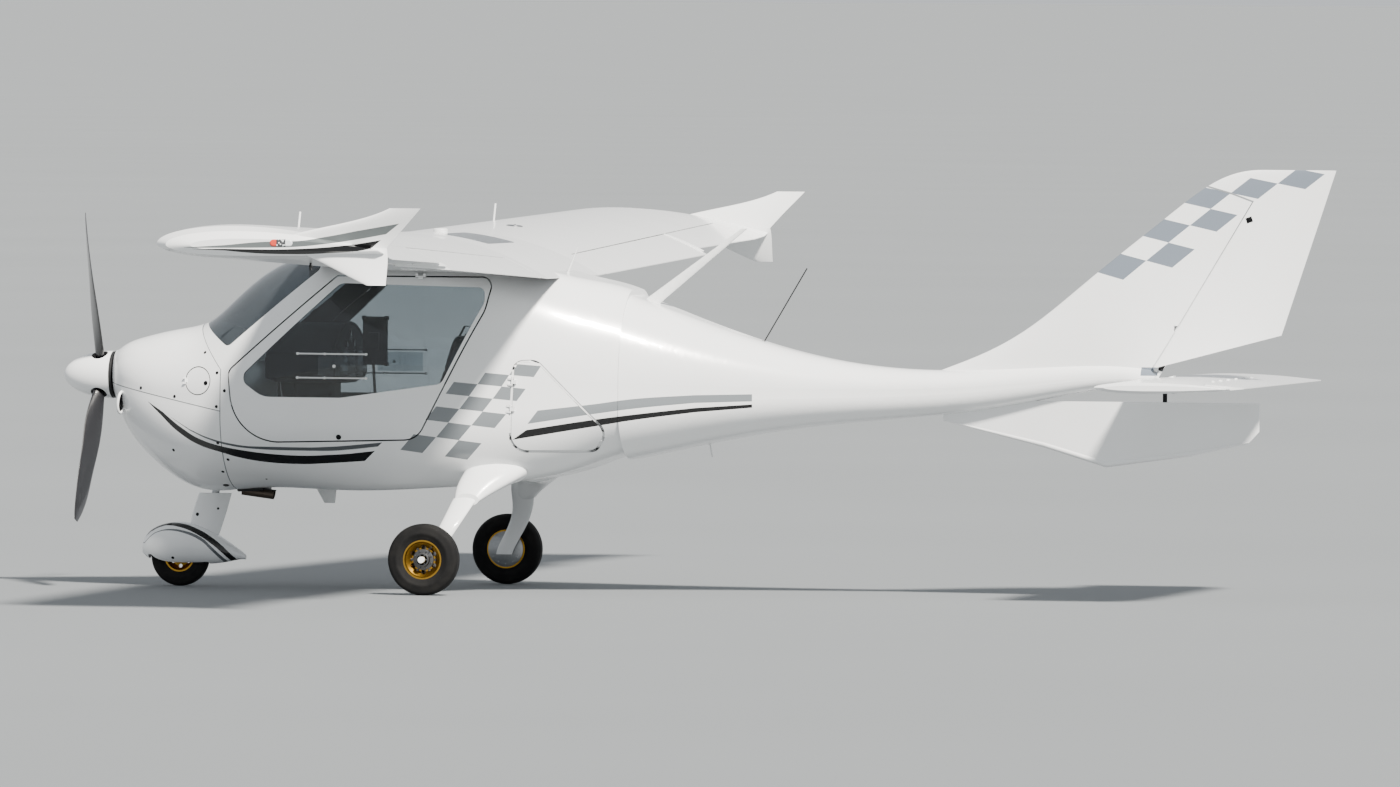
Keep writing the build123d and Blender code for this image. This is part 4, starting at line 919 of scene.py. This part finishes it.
for side, sideName in bothSides:
    out = Vector((0, side, 0))
    for label, rule in wheelParts.items():
        shape = bmesh.new()
        addDiscs(shape, wheelAxle, out, *rule.get("discs", ()))
        for radius, count, first, *rows in rule.get("bolts", ()):
            if "stem" in rule:
                foot = roundAxle(radius, first)
                addTube(shape, [foot + out * y for y in rule["stem"]], rule["stemRadius"], 10)
            for k in range(count):
                spot = roundAxle(radius, first + 2 * math.pi * k / count)
                addDiscs(shape, spot, out, *rows)
        makePiece(f"{label}_{sideName}", shape, *rule["look"], rule["on"].format(sideName))
    shape = bmesh.new()
    for x, y, z in caliper["bolts"]:
        addDiscs(shape, (x, side * y, z), -out, caliper["boltDisc"])
    addTube(shape, [(x, side * y, z) for x, y, z in caliper["hose"]], caliper["hoseRadius"], 10)
    makePiece(f"caliper_bolts_{sideName}", shape, "darkSteel", "steel")
print("wheel fittings set")

# Instrument panel: hood edge, two displays, round gauges, switches and a compass
rearward = (-1, 0, 0)
panelFace = {
    "x": 1.690, "screensAt": ((0.195, 1.085), (-0.195, 1.085)),
    "gaugesAt": ((0.0, 1.212), (-0.072, 1.160), (0.072, 1.160)),
    "radiosAt": ((0.0, 1.112), (0.0, 1.074)),
    # blocks: how far before the face, y and z from the place, size, rounding
    "bezel": (0.006, 0.0, 0.0, (0.014, 0.200, 0.138), 0.004),
    "screen": (0.0135, 0.0, 0.004, (0.002, 0.166, 0.092), 0.0006),
    "keys": [(0.0145, 0.024 * k - 0.060, -0.056, (0.004, 0.014, 0.006), 0.001)
             for k in range(6)],
    "radio": (0.004, 0.0, 0.0, (0.010, 0.162, 0.032), 0.003),
    "radioGlass": (0.0095, 0.012, 0.0, (0.0015, 0.090, 0.018), 0.0004),
    "needle": (0.0052, 0.0, 0.008, (0.0006, 0.0016, 0.022), 0.0),
    "knobs": (-0.066, 0.070), "knobDisc": (0.014, 0.0085, 0.014, 24, 0.0012),
    "rimBefore": 0.004, "gaugeRim": (0.029, 0.0045, 40),
    "gaugeDisc": (0.003, 0.027, 0.003, 40, 0.0),
    "marks": 12, "markCircle": 0.0225, "markBefore": 0.005, "markSize": (0.0006, 0.005, 0.0012),
    "switches": 9, "switchStart": -0.096, "switchStep": 0.024, "switchZ": 1.018,
    "switchDisc": (0.002, 0.0055, 0.005, 18, 0.0008), "leverRadius": 0.0022,
    "lever": ((-0.003, 0, 0), (-0.010, 0, 0.003), (-0.018, 0, 0.008)),
    "hood": ((0.332, 1.03), (0.333, 1.13), (0.285, 1.185), (0.20, 1.232), (0.10, 1.262),
             (0.0, 1.274)), "hoodBehind": 0.004, "hoodRadius": 0.009,
    "compass": (1.868, 0, 1.512), "compassDisc": (0.0, 0.027, 0.045, 36, 0.006),
    "compassRim": ((1.845, 0, 1.512), rearward, 0.025, 0.004), "footRadius": 0.006,
    "compassFoot": ((1.872, 0, 1.532), (1.880, 0, 1.550), (1.884, 0, 1.572)),
}
rule = panelFace


def onPanel(shape, place, *blocks):
    for before, y, z, size, rounding in blocks:
        addBlock(shape, (panelFace["x"] - before, place[0] + y, place[1] + z), size,
                 rounding=rounding)


shape = bmesh.new()
farHalf = [(-y, z) for y, z in rule["hood"][-2::-1]]
addTube(shape, [(rule["x"] + rule["hoodBehind"], y, z) for y, z in (*rule["hood"], *farHalf)],
        rule["hoodRadius"], 16)
makePiece("panel_hood_edge", shape, "panel", "dark_plastic")
shape = bmesh.new()
glass = bmesh.new()
for place in rule["screensAt"]:
    onPanel(shape, place, rule["bezel"], *rule["keys"])
    onPanel(glass, place, rule["screen"])
for y, z in rule["gaugesAt"]:
    addRing(shape, (rule["x"] - rule["rimBefore"], y, z), rearward, *rule["gaugeRim"])
    addDiscs(glass, (rule["x"], y, z), rearward, rule["gaugeDisc"])
for place in rule["radiosAt"]:
    onPanel(shape, place, rule["radio"])
    onPanel(glass, place, rule["radioGlass"])
    for y in rule["knobs"]:
        addDiscs(shape, (rule["x"], y, place[1]), rearward, rule["knobDisc"])
makePiece("panel_bezels", shape, "black", "dark_plastic")
makePiece("panel_glass", glass, "screen", "dark_plastic")
shape = bmesh.new()
for k in range(rule["switches"]):
    base = Vector((rule["x"], rule["switchStart"] + rule["switchStep"] * k, rule["switchZ"]))
    addDiscs(shape, base, rearward, rule["switchDisc"])
    addTube(shape, [base + Vector(step) for step in rule["lever"]], rule["leverRadius"], 8)
for y, z in rule["gaugesAt"]:
    for k in range(rule["marks"]):
        angle = 2 * math.pi * k / rule["marks"]
        mark = (rule["x"] - rule["markBefore"], y + rule["markCircle"] * math.cos(angle),
                z + rule["markCircle"] * math.sin(angle))
        addBlock(shape, mark, rule["markSize"], Matrix.Rotation(angle, 4, "X"))
    onPanel(shape, (y, z), rule["needle"])
makePiece("panel_switches", shape, "white", "steel")
shape = bmesh.new()
addDiscs(shape, rule["compass"], rearward, rule["compassDisc"])
addRing(shape, *rule["compassRim"])
addTube(shape, rule["compassFoot"], rule["footRadius"])
makePiece("compass", shape, "black", "dark_plastic")
print("panel set")

# Display tablet in its holder: a back plate, four corner clips and a stalk from the console
tablet = {
    "middle": Vector((1.572, -0.020, 1.186)), "size": (0.012, 0.144, 0.232), "turn": 1.18,
    "rounding": 0.0045, "back": (0.010, 0, 0), "backSize": (0.012, 0.060, 0.080),
    "backRounding": 0.004, "clipSize": (0.017, 0.020, 0.020), "clipIn": 0.012,
    "clipRounding": 0.003, "glass": (-0.0062, 0, 0), "glassSize": (0.0012, 0.122, 0.202),
    "glassRounding": 0.0004,
    "stalk": ((1.560, 0.0, 0.715), (1.562, -0.004, 0.86), (1.574, -0.010, 1.00),
              (1.580, -0.014, 1.10)), "stalkRadius": 0.007,
    "foot": (1.560, 0.0, 0.722), "footDisc": (0.0, 0.024, 0.012, 28, 0.003),
}
spin = Matrix.Rotation(tablet["turn"], 4, "Z")
thick, wide, high = tablet["size"]


def onTablet(offset):
    return tablet["middle"] + spin.to_3x3() @ Vector(offset)


shape = bmesh.new()
addBlock(shape, tablet["middle"], tablet["size"], spin, tablet["rounding"])
addBlock(shape, onTablet(tablet["back"]), tablet["backSize"], spin, tablet["backRounding"])
for y in (-0.5, 0.5):
    for z in (-0.5, 0.5):
        corner = (0, y * (wide - tablet["clipIn"]), z * (high - tablet["clipIn"]))
        addBlock(shape, onTablet(corner), tablet["clipSize"], spin, tablet["clipRounding"])
addTube(shape, tablet["stalk"], tablet["stalkRadius"], 14)
addDiscs(shape, tablet["foot"], (0, 0, 1), tablet["footDisc"])
makePiece("tablet_holder", shape, "black", "dark_plastic")
shape = bmesh.new()
addBlock(shape, onTablet(tablet["glass"]), tablet["glassSize"], spin, tablet["glassRounding"])
makePiece("tablet_glass", shape, "screen", "dark_plastic")

# Cushions: swollen by cloth simulation, flat where they rest, with sewn channels and a piped edge
seatPlace = {"front": Vector((1.600, 0, 0.700)), "heel": Vector((1.200, 0, 0.650)),
             "top": Vector((1.010, 0, 1.235)), "side": 0.272}
panWay = (seatPlace["front"] - seatPlace["heel"]).normalized()
panUp = Vector((-panWay.z, 0, panWay.x))
backWay = (seatPlace["top"] - seatPlace["heel"]).normalized()
backOut = Vector((backWay.z, 0, -backWay.x))
cushionRules = {
    "seat_cushion": {"length": 0.335, "width": 0.440, "thick": 0.070, "node": "seat_cushions",
                     "foot": seatPlace["heel"] + panWay * 0.064, "along": panWay, "up": panUp,
                     "across": (0.225,), "lines": (-0.115, 0.115)},
    "back_cushion": {"length": 0.595, "width": 0.440, "thick": 0.058, "node": "back_cushions",
                     "foot": seatPlace["heel"] + backWay * 0.012, "along": backWay, "up": backOut,
                     "across": (0.17, 0.40), "lines": (-0.115, 0.115)},
}
cushionMaking = {"inset": 0.009, "lift": 0.001, "rounding": 0.016, "voxel": 0.007,
                 "pressure": 4.0, "frames": 20, "cap": 0.010, "seamDepth": 0.0055,
                 "seamWidth": 0.006, "topFrom": 0.6, "rest": 0.0008, "fill": 0.7,
                 "piping": 0.0028, "pipingHeight": 0.72, "pipingPoints": 44}


def swell(piece):
    # blow the cover up a little like foam under cloth, and keep each point's way short
    start = [vert.co.copy() for vert in piece.data.vertices]
    cloth = piece.modifiers.new("swell", "CLOTH")
    cloth.settings.use_pressure = True
    cloth.settings.uniform_pressure_force = cushionMaking["pressure"]
    cloth.settings.effector_weights.gravity = 0.0
    for frameNumber in range(1, cushionMaking["frames"] + 1):
        bpy.context.scene.frame_set(frameNumber)
    puffed = piece.evaluated_get(bpy.context.evaluated_depsgraph_get())
    moved = [vert.co.copy() for vert in puffed.data.vertices]
    piece.modifiers.remove(cloth)
    bpy.context.scene.frame_set(1)
    for vert, before, after in zip(piece.data.vertices, start, moved):
        way = after - before
        if way.length > cushionMaking["cap"]:
            way *= cushionMaking["cap"] / way.length
        vert.co = before + way


def cushionShape(name, rule):
    making = cushionMaking
    inset = making["inset"]
    thick = rule["thick"] - inset
    shape = bmesh.new()
    addBlock(shape, (rule["length"] / 2, 0, thick / 2 + making["lift"]),
             (rule["length"] - 2 * inset, rule["width"] - 2 * inset, thick),
             rounding=making["rounding"])
    mesh = bpy.data.meshes.new(name)
    shape.to_mesh(mesh)
    shape.free()
    piece = link(name, mesh)
    remesh = piece.modifiers.new("evenMesh", "REMESH")
    remesh.mode = "VOXEL"
    remesh.voxel_size = making["voxel"]
    bpy.context.view_layer.update()
    evened = piece.evaluated_get(bpy.context.evaluated_depsgraph_get())
    piece.data = bpy.data.meshes.new_from_object(evened)
    piece.modifiers.clear()
    swell(piece)
    shape = bmesh.new()
    shape.from_mesh(piece.data)
    smooth = partial(bmesh.ops.smooth_vert, shape, factor=0.5, use_axis_x=True, use_axis_y=True,
                     use_axis_z=True)
    smooth(verts=shape.verts)
    bmesh.ops.subdivide_edges(shape, edges=shape.edges[:], cuts=1, use_grid_fill=True)
    smooth(verts=shape.verts)
    for vert in shape.verts:
        if vert.co.z > rule["thick"] * making["topFrom"]:
            near = min([abs(vert.co.x - x) for x in rule["across"]]
                       + [abs(vert.co.y - y) for y in rule["lines"]])
            vert.co.z -= making["seamDepth"] * math.exp(-(near / making["seamWidth"]) ** 2)
        vert.co.z = max(vert.co.z, making["rest"])
    bpy.data.objects.remove(piece)
    return shape


for label, rule in cushionRules.items():
    cover = cushionShape(label, rule)
    for side, sideName in bothSides:
        shape = cover.copy()
        place = rule["foot"] + Vector((0, side * seatPlace["side"], 0))
        seat = Matrix.Translation(place) @ axesMatrix(
            rule["along"], rule["up"].cross(rule["along"]), rule["up"])
        bmesh.ops.transform(shape, matrix=seat, verts=shape.verts)
        cushion = makePiece(f"{label}_{sideName}", shape, "fabric", "cushion_fabric")
        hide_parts(rule["node"])
        bpy.context.view_layer.update()
        # piping round the upper edge, found by rays from the middle of the cushion
        shape = bmesh.new()
        line = []
        start = seat @ Vector((rule["length"] / 2, 0,
                               rule["thick"] * cushionMaking["pipingHeight"]))
        for k in range(cushionMaking["pipingPoints"]):
            angle = 2 * math.pi * k / cushionMaking["pipingPoints"]
            way = Vector((math.cos(angle) * rule["length"], math.sin(angle) * rule["width"], 0))
            hit, place, normal, _ = cushion.ray_cast(start, seat.to_3x3() @ way.normalized())
            if hit:
                line.append(place)
        addTube(shape, line, cushionMaking["piping"], 10, closed=True)
        makePiece(f"{label}_piping_{sideName}", shape, "webbing", "cushion_fabric")
    cover.free()
    print(label, "made")

# Harness: shoulder and lap straps that lie on the cushions, with a buckle
strapRules = {
    "width": 0.044, "thick": 0.0022, "above": 0.0035, "lapX": 0.105, "lapSag": 0.02,
    "lapHalf": 0.20, "lapSteps": 5,
    "shoulder": ((0.560, 0.085), (0.45, 0.082), (0.34, 0.076), (0.23, 0.066), (0.13, 0.055),
                 (0.075, 0.048)),                        # along the back, and out from its middle
    "rear": ((-0.034, -0.26), (-0.034, -0.10), (-0.028, 0.010), (0.0, 0.030), (0.045, 0.022)),
    "mergeWithin": 0.00001,
    "buckle": (0.062, 0.052, 0.016), "buckleLift": 0.008, "buckleRounding": 0.004,
    "buckleDisc": (0.009, 0.017, 0.004, 28, 0.0012),
    "tongue": (0.030, 0.050, 0.005), "tongueAt": (-0.030, 0.045),
    "tongueRounding": 0.0015,
}
castFrom = 0.2                                           # rays start this far off a cushion


def layStrap(shape, line, wayAcross):
    # a flat band: one edge drawn out from point to point, then given its thickness
    half = Vector(wayAcross).normalized() * strapRules["width"] / 2
    ends = [shape.verts.new(line[0] - half), shape.verts.new(line[0] + half)]
    edge = shape.edges.new(ends)
    for spot in line[1:]:
        made = bmesh.ops.extrude_edge_only(shape, edges=[edge])["geom"]
        edge = [g for g in made if isinstance(g, bmesh.types.BMEdge)
                and not any(v in ends for v in g.verts)][0]
        ends = sorted(edge.verts, key=lambda v: (v.co - ends[0].co).length)
        ends[0].co = spot - half
        ends[1].co = spot + half


def dropOn(cushion, start, up):
    # where a strap lies over a cushion below a point
    hit, place, normal, _ = cushion.ray_cast(start + up * castFrom, -up)
    return place + up * strapRules["above"]


for side, sideName in bothSides:
    back = bpy.data.objects[f"back_cushion_{sideName}"]
    pan = bpy.data.objects[f"seat_cushion_{sideName}"]
    middle = Vector((0, side * seatPlace["side"], 0))
    backFoot = cushionRules["back_cushion"]["foot"] + middle
    panFoot = cushionRules["seat_cushion"]["foot"] + middle
    shape = bmesh.new()
    for lane in (-1, 1):
        over = seatPlace["top"] + middle + Vector((0, lane * strapRules["shoulder"][0][1], 0))
        line = [over + backOut * out + backWay * up for out, up in strapRules["rear"]]
        for along, across in strapRules["shoulder"]:
            start = backFoot + backWay * along + Vector((0, lane * across, 0))
            line.append(dropOn(back, start, backOut))
        layStrap(shape, line, (0, 1, 0))
    line = []
    steps = strapRules["lapSteps"]
    for k in range(-steps, steps + 1):
        along = strapRules["lapX"] - strapRules["lapSag"] * abs(k) / steps
        across = Vector((0, strapRules["lapHalf"] * k / steps, 0))
        line.append(dropOn(pan, panFoot + panWay * along + across, panUp))
    layStrap(shape, line, panWay)
    bmesh.ops.remove_doubles(shape, verts=shape.verts, dist=strapRules["mergeWithin"])
    bmesh.ops.recalc_face_normals(shape, faces=shape.faces)
    bmesh.ops.solidify(shape, geom=shape.faces[:], thickness=strapRules["thick"])
    makePiece(f"harness_straps_{sideName}", shape, "webbing", "cushion_fabric")
    shape = bmesh.new()
    place = line[steps] + panUp * strapRules["buckleLift"]
    turn = axesMatrix(panWay, panUp.cross(panWay), panUp)
    addBlock(shape, place, strapRules["buckle"], turn, strapRules["buckleRounding"])
    addDiscs(shape, place, panUp, strapRules["buckleDisc"])
    along, across = strapRules["tongueAt"]
    for lane in (-1, 1):
        addBlock(shape, place + panWay * along + Vector((0, lane * across, 0)),
                 strapRules["tongue"], turn, strapRules["tongueRounding"])
    makePiece(f"harness_buckle_{sideName}", shape, "darkSteel", "steel")
print("cushions and harness made")

# Studio: camera at the photograph's place, soft light and a pale floor
cameraPlace = {"distance": 85.154, "heading": 12.2187, "height": 2.8255, "pitch": 1.2605,
               "roll": 0.4046, "yawTrim": -0.01677, "lens": 458.99, "sensor": 36.0,
               "clip": 90000}
studioLight = {"sunFrom": (-0.45, 0.55, 0.75), "sunStrength": 12.0, "sunColour": "FFF9F0",
               "softAngle": 7.0, "skyColour": "EEF2F6", "skyStrength": 0.8, "floorHalf": 60000}


def makeCamera():
    heading = math.radians(cameraPlace["heading"])
    yaw = heading + math.radians(cameraPlace["yawTrim"])
    pitch = math.radians(cameraPlace["pitch"])
    roll = math.radians(cameraPlace["roll"])
    away = cameraPlace["distance"]
    place = Vector((-away * math.sin(heading), away * math.cos(heading), cameraPlace["height"]))
    look = Vector((math.sin(yaw) * math.cos(pitch), -math.cos(yaw) * math.cos(pitch),
                   -math.sin(pitch)))
    right = Vector((-math.cos(yaw), -math.sin(yaw), 0.0))
    up = right.cross(look)
    rightRolled = right * math.cos(roll) + up * math.sin(roll)
    upRolled = -right * math.sin(roll) + up * math.cos(roll)
    camera = link("photoCamera", bpy.data.cameras.new("photoCamera"))
    camera.data.lens = cameraPlace["lens"]
    camera.data.sensor_width = cameraPlace["sensor"]
    camera.data.clip_end = cameraPlace["clip"]
    camera.matrix_world = Matrix.Translation(place) @ axesMatrix(rightRolled, upRolled, -look)
    bpy.context.scene.camera = camera


def makeStudio():
    sun = link("softSun", bpy.data.lights.new("softSun", "SUN"))
    sun.data.energy = studioLight["sunStrength"]
    sun.data.angle = math.radians(studioLight["softAngle"])
    sun.data.color = hexToLinear(studioLight["sunColour"])[:3]
    sun.matrix_world = turnTo(studioLight["sunFrom"])
    world = bpy.data.worlds.new("studioWorld")
    world.use_nodes = True
    background = world.node_tree.nodes["Background"]
    background.inputs["Color"].default_value = hexToLinear(studioLight["skyColour"])
    background.inputs["Strength"].default_value = studioLight["skyStrength"]
    bpy.context.scene.world = world
    shape = bmesh.new()
    bmesh.ops.create_grid(shape, x_segments=2, y_segments=2, size=studioLight["floorHalf"])
    floor = makePiece("studioFloor", shape, "floor", None, None)


makeCamera()
makeStudio()
print("studio set")

bpy.context.view_layer.update()
